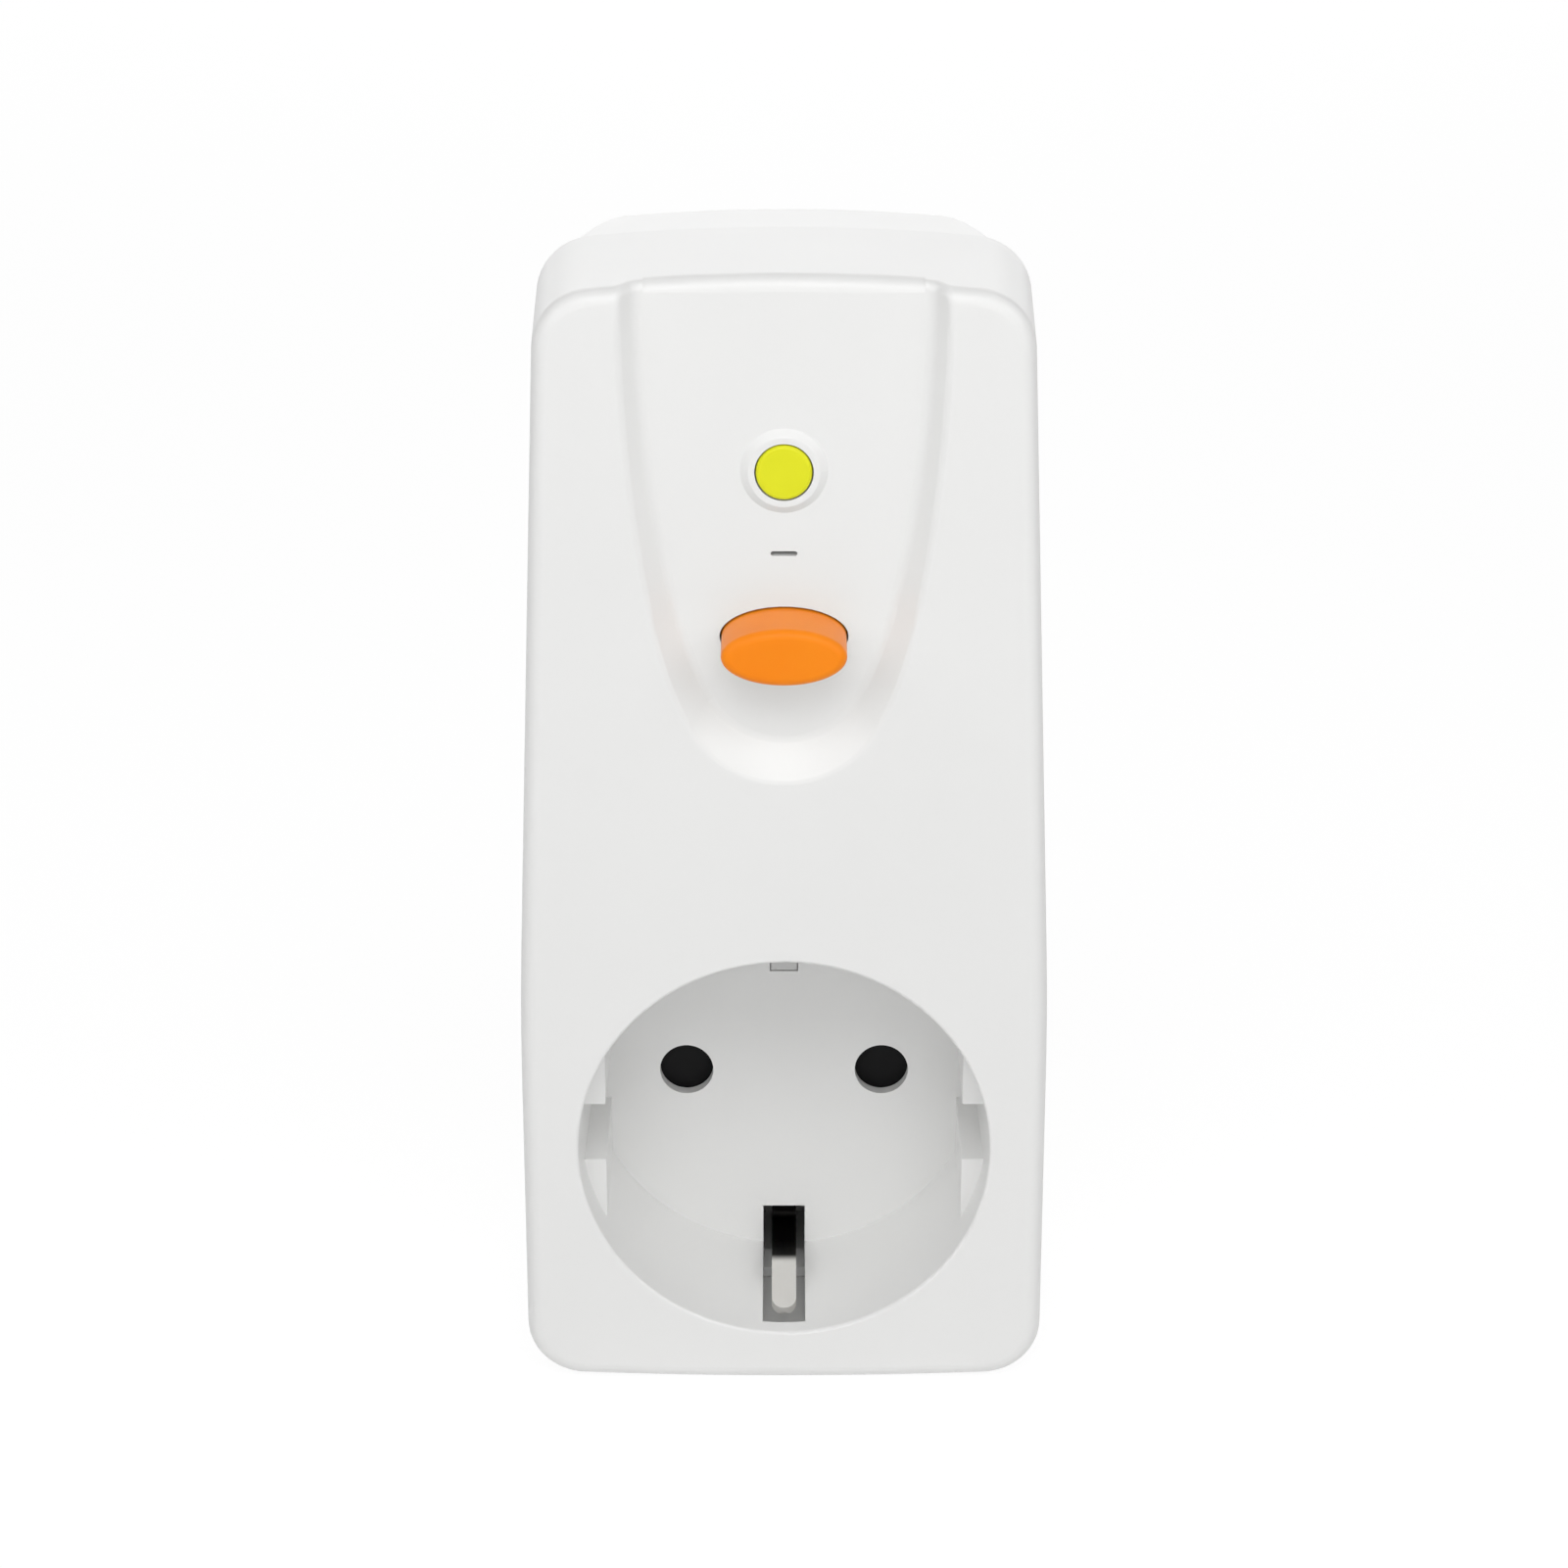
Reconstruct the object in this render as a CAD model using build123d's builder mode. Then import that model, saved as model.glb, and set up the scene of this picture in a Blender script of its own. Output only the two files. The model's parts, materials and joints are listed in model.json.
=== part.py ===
from build123d import *
from math import atan2, cos, degrees, radians, sin, tan
import os

# Residual-current adapter plug, in millimetres.
# X is to the right, Y goes into the wall, Z is up. The origin is on the plug's axis, at the
# face of the housing that lies against the wall plate.

# Housing
depth = 33.0
seam_y = -15.0
low_z = -24.5
high_z = 83.4
half_base = 24.4
half_top = 21.8
bend_z = 14.0
bend_radius = 300.0
front_draft = 0.5
back_draft = 1.2
seam_step = 0.3
low_bow = 0.65
high_bow = 1.3
low_corner = 5.5
high_corner = 5.5
back_corner = 7.5
front_rounding = 1.4
back_rounding = 2.2
wall = 2.2
seam_groove = 0.4
lip_height = 1.4
lip_wall = 1.0
lip_step = 0.05
lip_root = 2.5
front_y = -depth
lap = 0.01

# Clearances
fit_gap = 0.1
part_gap = 0.3

# Control panel, a tongue-shaped hollow open at the top
panel_depth = 2.0
panel_low_z = 37.0
panel_low_radius = 9.4
panel_low_angle = 63.0
panel_mid = (11.6, 51.5)
panel_half = 14.4
panel_side_run = 1.4
panel_low_run = 3.5
panel_floor_radius = 7.5
panel_floor_mid = (9.9, 53.5)
panel_floor_rounding = 1.2
panel_rim_rounding = 0.8
panel_side_end = 3.0
panel_overrun = 8.0
panel_y = front_y + panel_depth
panel_back_y = panel_y + wall

# Test button
test_z = 65.9
test_radius = 2.5
test_hole_gap = 0.125
test_proud = 0.8
test_dome = 0.35
test_travel = 1.2
collar_radius = 3.9
collar_height = 0.6
collar_run = 0.7
collar_rounding = 0.25
flange_thick = 1.0
flange_lip = 1.1
test_stem_radius = 1.5
test_stem_length = 3.0

# Reset button, an ellipse in plan
reset_z = 50.4
reset_half_x = 5.6
reset_half_z = 2.65
reset_hole_gap = 0.18
reset_proud = 6.2
reset_travel = 4.5
reset_rounding = 0.8
flange_y = panel_back_y + part_gap

# Window of the contact-state flag
window_z = 58.2
window_width = 2.4
window_height = 0.45

# Socket, European earthed round-pin pattern
socket_depth = 17.75
mouth_radius = 19.25
floor_radius = 19.0
mouth_rounding = 0.3
well_wall = 1.8
floor_thick = 1.3
pin_pitch = 19.0
pin_hole_radius = 2.6
flat_half_x = 16.85
flat_depth = 4.3
notch_low = -3.0
notch_high = 2.8
slot_half_x = 2.05
slot_top = 1.9
slot_inner_radius = 14.9
slot_overrun = 0.4
latch_window_z = 10.5
latch_window_width = 2.7
latch_window_height = 3.0
floor_y = front_y + socket_depth
floor_back_y = floor_y + floor_thick
well_radius = mouth_radius + well_wall
pin_x = pin_pitch / 2

# Shutter and its carrier
shutter_thick = 1.2
shutter_travel = 6.0
shutter_half_x = 13.6
shutter_low_z = -5.6
shutter_high_z = 9.4
shutter_hole_radius = 2.9
shutter_corner = 1.0
shutter_window_half_x = 1.6
shutter_window_low_z = -3.8
shutter_window_high_z = 8.0
carrier_thick = 1.2
carrier_half_x = 16.0
carrier_low_z = -13.2
carrier_high_z = 14.4
carrier_corner = 2.0
latch_sink = 0.05
spring_peg_z = -2.8
spring_peg_half_x = 1.0
spring_peg_half_z = 0.6
spring_peg_rise = 0.2
shutter_spring_radius = 0.55
shutter_spring_wire = 0.13
shutter_spring_pitch = 1.3
shutter_spring_length = 9.6
shutter_spring_gap = 0.2
shutter_y = floor_back_y + part_gap
carrier_y = shutter_y + shutter_thick + part_gap
carrier_back_y = carrier_y + carrier_thick

# Contacts that grip the appliance's pins
pin_radius = 2.4
contact_gap = 0.05
contact_wall = 0.7
contact_length = 16.5
contact_slit = 0.9
contact_slit_length = 9.0
tab_width = 3.6
tab_height = 6.0
contact_radius = pin_radius + contact_gap
contact_outer = contact_radius + contact_wall
contact_y = carrier_back_y + part_gap
contact_back_y = contact_y + contact_length

# Earth brackets
strip_half_x = 1.18
strip_thick = 0.7
strip_root_radius = 18.7
strip_peak_radius = 17.0
strip_peak_depth = 9.8
strip_tip_radius = 19.9
strip_tip_depth = 4.7
strip_bend_rise = 1.0
strip_bends = [1.0, 3.0, 3.0]
bracket_half_x = 2.6
bracket_half_z = 14.0
bracket_thick = 0.8
clip_half_x = 2.7
clip_radius = 16.6
clip_bulge = 0.8
clip_start = 2.5
clip_tip_run = 1.0
clip_tip_drop = 1.1
clip_bends = [1.0, 4.0, 4.0, 0.6]
bracket_y = carrier_back_y
clip_bracket_y = bracket_y + bracket_thick
rivet_z = 8.0
rivet_radius = 1.1
rivet_head_radius = 1.87
rivet_head_height = 0.6
rivet_back_y = clip_bracket_y + bracket_thick

# Plug on the back
boss_radius = 18.4
boss_height = 17.0
boss_wall = 2.0
boss_end_wall = 3.6
boss_flat_x = 16.5
boss_groove_half_z = 3.3
boss_groove_depth = 1.2
boss_rounding = 0.7
clip_slot_half_x = 4.0
clip_slot_radius = 15.0
plug_pin_length = 19.0
plug_pin_tip = 1.6
plug_pin_root = 2.6
plug_pin_tail = 3.0
plug_pin_collar = plug_pin_root + contact_wall
plug_pin_collar_thick = 1.0

# Housing screws: head, shank and the posts they join
screw_radius = 1.45
screw_head_radius = 2.75
screw_head_height = 2.0
screw_sink = 0.5
screw_length = 22.0
screw_hole_gap = 0.15
recess_half_length = 1.6
recess_half_width = 0.35
recess_depth = 1.2
screw_tip_depth = screw_sink + screw_head_height + screw_length
screw_post_radius = 3.0
screw_places = [(-19.0, -19.3), (19.0, -19.3), (-16.2, 76.0), (16.2, 76.0)]

# Circuit board, in front of the supply leads
lead_radius = 1.1
supply_lead_y = -wall - part_gap - lead_radius
board_back_y = supply_lead_y - lead_radius - part_gap
board_thick = 1.6
board_half_x = 17.0
board_low_z = 25.0
board_high_z = 77.5
board_notch = 3.6
board_post_radius = 2.6
board_screw_places = [(-14.0, 38.5), (14.2, 60.2)]
board_screw_radius = 1.1
board_screw_head = 2.1
board_screw_head_height = 1.4
board_screw_depth = 3.4
board_y = board_back_y - board_thick

# Current transformer
toroid_z = 31.0
toroid_y = -16.0
toroid_radius = 7.4
toroid_hole = 4.6
toroid_height = 6.0
winding_thick = 0.9
winding_rounding = 0.63
cradle_half_x = 6.0
cradle_half_z = 2.6
cradle_wrap = 2.0

# Switch mechanism behind the reset button
carriage_y = -23.5
carriage_depth = 7.5
carriage_half_x = 10.4
carriage_core_half_x = 5.2
carriage_half_z = 4.2
carriage_arm_half_z = 3.0
spring_pocket_depth = 4.0
bridge_x = 8.0
bridge_half_x = 1.5
bridge_half_z = 4.1
bridge_thick = 0.6
rivet_span = 6.4
contact_rivet_radius = 1.3
contact_rivet_height = 0.8
terminal_radius = 1.0
terminal_head_radius = 1.5
terminal_head_height = 0.8
frame_base = 1.4
frame_half_x = 12.6
frame_half_z = 6.8
frame_wall = 1.6
frame_wall_half_z = 4.6
frame_reach = 12.0
spring_post_radius = 1.6
spring_post_height = 5.0
spring_radius = 2.3
spring_wire = 0.25
spring_pitch = 2.0
carriage_back_y = carriage_y + carriage_depth
frame_y = board_y - frame_base
rivet_y = carriage_back_y + bridge_thick
fixed_contact_y = rivet_y + contact_rivet_height + reset_travel + part_gap

# Contact-state flag: a slide driven sideways by a slanted slot in the carriage
flag_travel = 3.0
flag_thick = 0.8
flag_half_z = 1.0
flag_left_x = -2.6
flag_right_x = 8.3
flag_pin_x = 7.5
flag_pin_y = -20.0
flag_pin_radius = 0.8
fin_left_x = 2.6
fin_right_x = 9.7
fin_height = 2.8
fin_front_y = -26.0
fin_back_y = -18.2
fin_root = 2.0
flag_slot_sink = 0.2
flag_pin_gap = 1.0
rib_thick = 0.8
flag_y = panel_back_y + part_gap
fin_z = reset_z + carriage_half_z

# Trip latch and its electromagnet
tooth_half_x = 1.4
tooth_height = 1.4
tooth_thick = 1.2
plunger_y = -12.0
plunger_radius = 1.6
plunger_low_z = 58.6
plunger_high_z = 71.6
plunger_disc_radius = 2.5
plunger_disc_thick = 0.8
lever_pivot_y = -16.6
lever_pivot_z = 60.2
lever_half_x = 1.4
lever_hub_radius = 1.6
lever_pin_radius = 0.8
lever_pin_half = 4.4
lever_arm_thick = 0.9
lever_hook_y = -21.0
lever_hook_thick = 1.2
pivot_gap = 0.05
prong_width = 0.7
prong_end_y = -10.0
prong_rise = 0.9
fork_root = 0.4
bracket_foot_low_z = 58.4
bracket_foot_high_z = 62.0
bracket_foot_thick = 1.2
ear_thick = 1.4
ear_reach = 1.7
ear_half_z = 1.5
yoke_low_z = 63.2
yoke_high_z = 76.4
yoke_thick = 1.2
yoke_half_x = 6.8
yoke_front_y = -16.2
bobbin_radius = 5.0
bobbin_wall = 0.5
bobbin_flange = 0.8
winding_radius = 4.6
pole_length = 2.0
trip_spring_radius = 0.75
trip_spring_wire = 0.12
trip_spring_pitch = 1.1
trip_spring_depth = 4.0
trip_bore_gap = 0.4
trip_bottom_gap = 0.15
trip_top_gap = 0.11
prong_inner = plunger_radius + part_gap
coil_bore = plunger_radius + part_gap
coil_low = yoke_low_z + yoke_thick
coil_high = yoke_high_z - yoke_thick
trip_bore_low_z = plunger_high_z - trip_spring_depth

# Test circuit
leaf_x = 12.5
leaf_end_x = -10.5
leaf_thick = 0.4
leaf_half_z = 2.0
leaf_bend = 1.0
test_post_x = -9.0
test_post_radius = 0.8
leaf_y = flange_y + flange_thick + test_stem_length + fit_gap
resistor_left_x = -15.0
resistor_length = 6.6
resistor_radius = 1.6
resistor_rounding = 0.5
resistor_wire = 0.3
resistor_lead_run = 0.8
resistor_y = board_y - 1.9
resistor_z = 70.9

# Leads
lead_hole_x = 1.6
load_lead_y = -8.6
load_lead_low_z = contact_outer + 1.8
load_lead_bend_z = 20.0
load_lead_end_y = -10.0
load_lead_z = 41.5
load_lead_bends = [3.0, 2.2, 2.2, 1.6]
lead_run_in = 4.6
lead_run_out = 5.2
tab_y = load_lead_y - lead_radius - contact_wall
supply_lead_z = 11.0
supply_lead_top = 56.5
supply_lead_rise = 1.7
supply_lead_bends = [1.3, 2.5, 2.5]

# Block that carries the socket contacts, behind the rivets' heads and the contacts' tabs
block_front_y = max(rivet_back_y + rivet_head_height, tab_y + contact_wall) + fit_gap
block_back_y = 4.0
block_half_x = boss_flat_x - boss_wall - boss_groove_depth - fit_gap
block_half_z = 4.6
ledge_half_x = 16.6
ledge_thick = 3.0

# Components on the board
varistor_left_x = -15.2
varistor_z = 30.5
varistor_rise = 6.4
varistor_radius = 4.8
varistor_thick = 3.6
varistor_rounding = 1.2
varistor_wire = 0.4
varistor_leg_half_span = 2.5
varistor_leg_length = 5.0
capacitor_x = (10.2, 15.8)
capacitor_z = (26.6, 37.6)
capacitor_height = 9.0
capacitor_rounding = 0.5
chip_half_x = 4.8
chip_half_z = 2.8
chip_mid_z = 39.4
chip_height = 3.6
chip_stand_off = 0.5
chip_leg_pitch = 2.54
chip_leg_half_x = 0.3
chip_leg_out = 0.6
chip_leg_height = 2.0
thyristor_x = -14.2
thyristor_z = 58.6
thyristor_radius = 2.3
thyristor_height = 4.6
thyristor_stand_off = 2.0
thyristor_flat_z = 2.0
thyristor_flat_cut = 1.2
thyristor_leg_pitch = 1.2
thyristor_wire = 0.25

os.makedirs("parts", exist_ok=True)


def plane_at(y):
    # A drawing plane across the object: its x is X and its y is Z, seen from the front.
    return Plane.XZ.offset(-y)


def housing_section(y, grow, corner_low, corner_high, shrink=0.0):
    # The housing's outline at depth y. Its bottom stays level, so that the adapter stands.
    base = half_base + grow - shrink
    top = half_top + grow - shrink
    low = low_z + shrink
    high = high_z + grow - shrink
    with BuildSketch(plane_at(y)) as section:
        with BuildLine():
            ThreePointArc((-base, low + low_bow), (0, low), (base, low + low_bow))
            Line((base, low + low_bow), (base, bend_z))
            Line((base, bend_z), (top, high - high_bow))
            ThreePointArc((top, high - high_bow), (0, high), (-top, high - high_bow))
            Line((-top, high - high_bow), (-base, bend_z))
            Line((-base, bend_z), (-base, low + low_bow))
        make_face()
        fillet(section.vertices().sort_by(Axis.Y)[:2], radius=corner_low - shrink)
        bends = [v for v in section.vertices() if abs(v.Y - bend_z) < lap]
        fillet(bends, radius=bend_radius)
        fillet(section.vertices().sort_by(Axis.Y)[-2:], radius=corner_high - shrink)
    return section.sketch


def panel_section(y, low, low_radius, mid, half, grow=0.0):
    # The tongue outline: an arc at the bottom, two tangent arcs up each side, open at the top.
    hip_x = low_radius * sin(radians(panel_low_angle))
    hip_z = low + low_radius * (1 - cos(radians(panel_low_angle)))
    side_z = high_z - panel_side_end
    over_z = high_z + panel_overrun
    with BuildSketch(plane_at(y)) as section:
        with BuildLine():
            ThreePointArc((-hip_x, hip_z), (0, low), (hip_x, hip_z))
            low_side = TangentArc(
                (hip_x, hip_z),
                mid,
                tangent=(cos(radians(panel_low_angle)), sin(radians(panel_low_angle))),
            )
            TangentArc(mid, (half, side_z), tangent=low_side % 1)
            mirror(about=Plane.YZ)
            Polyline((half, side_z), (half, over_z), (-half, over_z), (-half, side_z))
        make_face()
        if grow:
            offset(amount=grow, kind=Kind.INTERSECTION)
    return section.sketch


def panel_loft(top_y, base_y, grow=0.0):
    # The panel's hollow, from its rim at top_y down its bevel to base_y.
    with BuildPart() as hollow:
        add(panel_section(top_y, panel_low_z, panel_low_radius, panel_mid, panel_half, grow))
        add(
            panel_section(
                base_y,
                panel_low_z + panel_low_run,
                panel_floor_radius,
                panel_floor_mid,
                panel_half - panel_side_run,
                grow,
            )
        )
        loft(ruled=True)
    return hollow.part


def cylinder_along_y(x, z, radius, start_y, end_y):
    # A round bar along Y.
    with BuildPart() as bar:
        with BuildSketch(plane_at(end_y)):
            with Locations((x, z)):
                Circle(radius)
        extrude(amount=end_y - start_y)
    return bar.part


def block(x_range, y_range, z_range):
    # A plain block between the given limits.
    with BuildPart() as body:
        with BuildSketch(plane_at(y_range[1])):
            with Locations(((x_range[0] + x_range[1]) / 2, (z_range[0] + z_range[1]) / 2)):
                Rectangle(x_range[1] - x_range[0], z_range[1] - z_range[0])
        extrude(amount=y_range[1] - y_range[0])
    return body.part


def bent_strip(points, radii, thick, half_width):
    # A strip bent in the YZ plane along points (y, z), rounded at its corners.
    with BuildPart() as strip:
        with BuildSketch(Plane.YZ):
            with BuildLine():
                FilletPolyline(*points, radius=radii)
            trace(line_width=thick)
        extrude(amount=half_width, both=True)
    return strip.part


def coil_spring(start, direction, radius, wire, pitch, height):
    # A compression spring standing on start and rising along direction.
    with BuildPart() as coil:
        with BuildLine():
            path = Helix(pitch, height, radius, center=start, direction=direction)
        with BuildSketch(Plane(origin=path @ 0, z_dir=path % 0)):
            Circle(wire)
        sweep(is_frenet=True)
    return coil.part


def lead(points, radii):
    # An insulated wire along straight runs joined by arcs.
    with BuildPart() as wire:
        with BuildLine():
            path = FilletPolyline(*points, radius=radii)
        with BuildSketch(Plane(origin=path @ 0, z_dir=path % 0)):
            Circle(lead_radius)
        sweep()
    return wire.part


def ring(low, high, outer, inner=0.0):
    # An upright ring or bar on the plunger's axis.
    with BuildPart() as body:
        with BuildSketch(Plane.XY.offset(low)):
            with Locations((0, plunger_y)):
                Circle(outer)
                if inner:
                    Circle(inner, mode=Mode.SUBTRACT)
        extrude(amount=high - low)
    return body.part


# The panel's hollow, and the rounding of its floor where it meets the cover's top
with BuildPart() as panel_hollow:
    add(panel_loft(front_y - lap, panel_y))
    floor_outline = panel_hollow.edges().group_by(Axis.Y)[-1].sort_by(Axis.Z)
    fillet(floor_outline[:-1], radius=panel_floor_rounding)

with BuildPart() as panel_level:
    add(housing_section(seam_y, front_draft, low_corner, high_corner))
    panel_draft = front_draft * panel_depth / (seam_y - front_y)
    add(housing_section(panel_y, panel_draft, low_corner, high_corner))
    loft(ruled=True)
    fillet(panel_level.faces().sort_by(Axis.Y)[0].edges(), radius=front_rounding)

# The rounding ends where the fillets along the floor's sides start.
side_fillet_run = panel_floor_rounding * tan(atan2(panel_depth, panel_side_run) / 2)
top_rounding_half = panel_half - panel_side_run - side_fillet_run - fit_gap

with BuildPart() as panel_top_rounding:
    with BuildSketch(plane_at(panel_y + front_rounding)):
        with Locations((0, high_z)):
            Rectangle(2 * top_rounding_half, 2 * front_rounding)
    extrude(amount=front_rounding + lap)
    add(panel_level.part, mode=Mode.SUBTRACT)

# Front cover
with BuildPart() as front_cavity:
    add(housing_section(seam_y + lap, front_draft, low_corner, high_corner, wall))
    add(housing_section(front_y + wall, 0, low_corner, high_corner, wall))
    loft(ruled=True)
    add(panel_loft(front_y - lap, panel_back_y, wall), mode=Mode.SUBTRACT)
    # The socket's well and the screw posts stand in the hollow.
    with BuildSketch(plane_at(front_y)):
        Circle(well_radius)
    extrude(amount=-(floor_back_y - front_y), mode=Mode.SUBTRACT)
    with BuildSketch(plane_at(front_y)):
        with Locations(*screw_places):
            Circle(screw_post_radius)
    extrude(amount=-(seam_y - front_y + 2 * lap), mode=Mode.SUBTRACT)

with BuildPart() as well:
    with BuildSketch(plane_at(front_y - lap)):
        Circle(mouth_radius)
    with BuildSketch(plane_at(floor_y)):
        Circle(floor_radius)
    loft()

# The two flats in the well, each with a notch in its middle
with BuildPart() as well_flats:
    with BuildSketch(plane_at(front_y + flat_depth)):
        Circle(well_radius - fit_gap)
        Rectangle(2 * flat_half_x, 2 * well_radius, mode=Mode.SUBTRACT)
        with Locations((0, (notch_low + notch_high) / 2)):
            Rectangle(2 * well_radius, notch_high - notch_low, mode=Mode.SUBTRACT)
    extrude(amount=-(socket_depth - flat_depth + lap))

with BuildPart() as front_cover:
    add(housing_section(seam_y, front_draft, low_corner, high_corner))
    add(housing_section(front_y, 0, low_corner, high_corner))
    loft(ruled=True)
    rim = front_cover.faces().sort_by(Axis.Y)[0].edges()
    fillet(rim, radius=front_rounding)
    add(panel_hollow.part, mode=Mode.SUBTRACT)
    panel_rim = (
        front_cover.edges()
        .filter_by_position(Axis.X, -panel_half - part_gap, panel_half + part_gap)
        .filter_by_position(Axis.Y, front_y - lap, panel_y - panel_depth / 4)
        .filter_by_position(Axis.Z, panel_low_z - part_gap, high_z)
    )
    fillet(panel_rim, radius=panel_rim_rounding)
    add(panel_top_rounding.part, mode=Mode.SUBTRACT)
    add(front_cavity.part, mode=Mode.SUBTRACT)
    # The well's floor can reach a little behind the seam.
    with BuildSketch(plane_at(floor_back_y)):
        Circle(well_radius)
    extrude(amount=floor_thick + lap)
    add(well.part, mode=Mode.SUBTRACT)
    circles = front_cover.edges().filter_by(GeomType.CIRCLE)
    mouth_edge = circles.filter_by(lambda e: abs(e.radius - mouth_radius) < fit_gap)
    fillet(mouth_edge, radius=mouth_rounding)
    add(well_flats.part)
    # Earth slots at the top and bottom of the well
    with BuildSketch(plane_at(floor_back_y + lap)):
        slot_outer_radius = well_radius + slot_overrun
        with Locations((0, (slot_inner_radius + slot_outer_radius) / 2)):
            Rectangle(2 * slot_half_x, slot_outer_radius - slot_inner_radius)
        mirror(about=Plane.XZ)
    extrude(amount=socket_depth + floor_thick - slot_top + lap, mode=Mode.SUBTRACT)
    # Pin holes and the window for the shutter carrier's latch
    with BuildSketch(plane_at(floor_back_y + lap)):
        with GridLocations(pin_pitch, 0, 2, 1):
            Circle(pin_hole_radius)
        with Locations((0, latch_window_z + latch_window_height / 2)):
            Rectangle(latch_window_width, latch_window_height)
    extrude(amount=floor_thick + 2 * lap, mode=Mode.SUBTRACT)
    # Raised collar, button holes and flag window in the panel
    with BuildSketch(plane_at(panel_y + lap)):
        with Locations((0, test_z)):
            Circle(collar_radius)
    with BuildSketch(plane_at(panel_y - collar_height)):
        with Locations((0, test_z)):
            Circle(collar_radius - collar_run)
    loft()
    circles = front_cover.edges().filter_by(GeomType.CIRCLE)
    collar_top = circles.filter_by(lambda e: abs(e.center().Y - panel_y + collar_height) < lap)
    fillet(collar_top, radius=collar_rounding)
    with BuildSketch(plane_at(panel_back_y + lap)):
        with Locations((0, test_z)):
            Circle(test_radius + test_hole_gap)
        with Locations((0, reset_z)):
            Ellipse(reset_half_x + reset_hole_gap, reset_half_z + reset_hole_gap)
        with Locations((0, window_z)):
            SlotOverall(window_width, window_height)
    extrude(amount=panel_depth + wall, mode=Mode.SUBTRACT)
    # Pilot holes for the housing screws
    with BuildSketch(plane_at(seam_y + lap)):
        with Locations(*screw_places):
            Circle(screw_radius)
    extrude(amount=screw_tip_depth + seam_y + part_gap, mode=Mode.SUBTRACT)
    # Ribs that guide the state flag behind the panel
    with BuildSketch(plane_at(panel_back_y - lap)):
        rib_z = flag_half_z + part_gap + rib_thick / 2
        with Locations((0, window_z + rib_z), (0, window_z - rib_z)):
            Rectangle(2 * flag_right_x, rib_thick)
    extrude(amount=-(part_gap + flag_thick + part_gap))

front_cover.part.label = "front_cover"
export_step(front_cover.part, "parts/front_cover.step")

# Back cover with the plug's body
back_grow = front_draft - seam_step
lip_grow = front_draft - lip_step
lip_front_y = seam_y - lip_height
lip_end_y = seam_y + lip_root

with BuildPart() as back_cavity:
    add(housing_section(lip_end_y, back_grow, low_corner, high_corner, wall))
    add(housing_section(-wall, -back_draft, back_corner, back_corner, wall))
    loft(ruled=True)
    # Inside of the lip
    lip_inside = wall + fit_gap + lip_wall
    add(housing_section(lip_front_y - lap, lip_grow, low_corner, high_corner, lip_inside))
    extrude(amount=lip_end_y - lip_front_y + 2 * lap, dir=(0, 1, 0))
    with BuildSketch(plane_at(-wall - lap)):
        Circle(boss_radius - boss_wall)
        # Walls behind the earth clips' hollows and the guide grooves
        hollow_width = 2 * (boss_flat_x - boss_wall - boss_groove_depth)
        Rectangle(hollow_width, 2 * boss_radius, mode=Mode.INTERSECT)
        with Locations((0, clip_slot_radius + boss_wall), (0, -clip_slot_radius - boss_wall)):
            Rectangle(2 * (clip_slot_half_x + boss_wall), 4 * boss_wall, mode=Mode.SUBTRACT)
    extrude(amount=-(wall + lap + boss_height - boss_end_wall))
    with BuildSketch(plane_at(-wall - lap)):
        with Locations(*screw_places):
            Circle(screw_post_radius)
    extrude(amount=-seam_y, mode=Mode.SUBTRACT)
    with BuildSketch(plane_at(-wall)):
        with Locations(*board_screw_places):
            Circle(board_post_radius)
    extrude(amount=-board_back_y - wall, mode=Mode.SUBTRACT)

with BuildPart() as plug_body:
    with BuildSketch(plane_at(-back_rounding)):
        Circle(boss_radius)
    extrude(amount=-(boss_height + back_rounding))
    end_rim = plug_body.faces().sort_by(Axis.Y)[-1].edges()
    chamfer(end_rim, length=boss_rounding)
    # Flats with a guide groove at the left and right
    with BuildSketch(plane_at(0)):
        with Locations((boss_radius + boss_flat_x - boss_groove_depth, 0)):
            Rectangle(2 * boss_radius, 2 * boss_groove_half_z)
        with Locations((boss_radius + boss_flat_x, 0)):
            Rectangle(2 * boss_radius, 2 * boss_radius)
        mirror(about=Plane.YZ)
    extrude(amount=-boss_height, mode=Mode.SUBTRACT)

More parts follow.
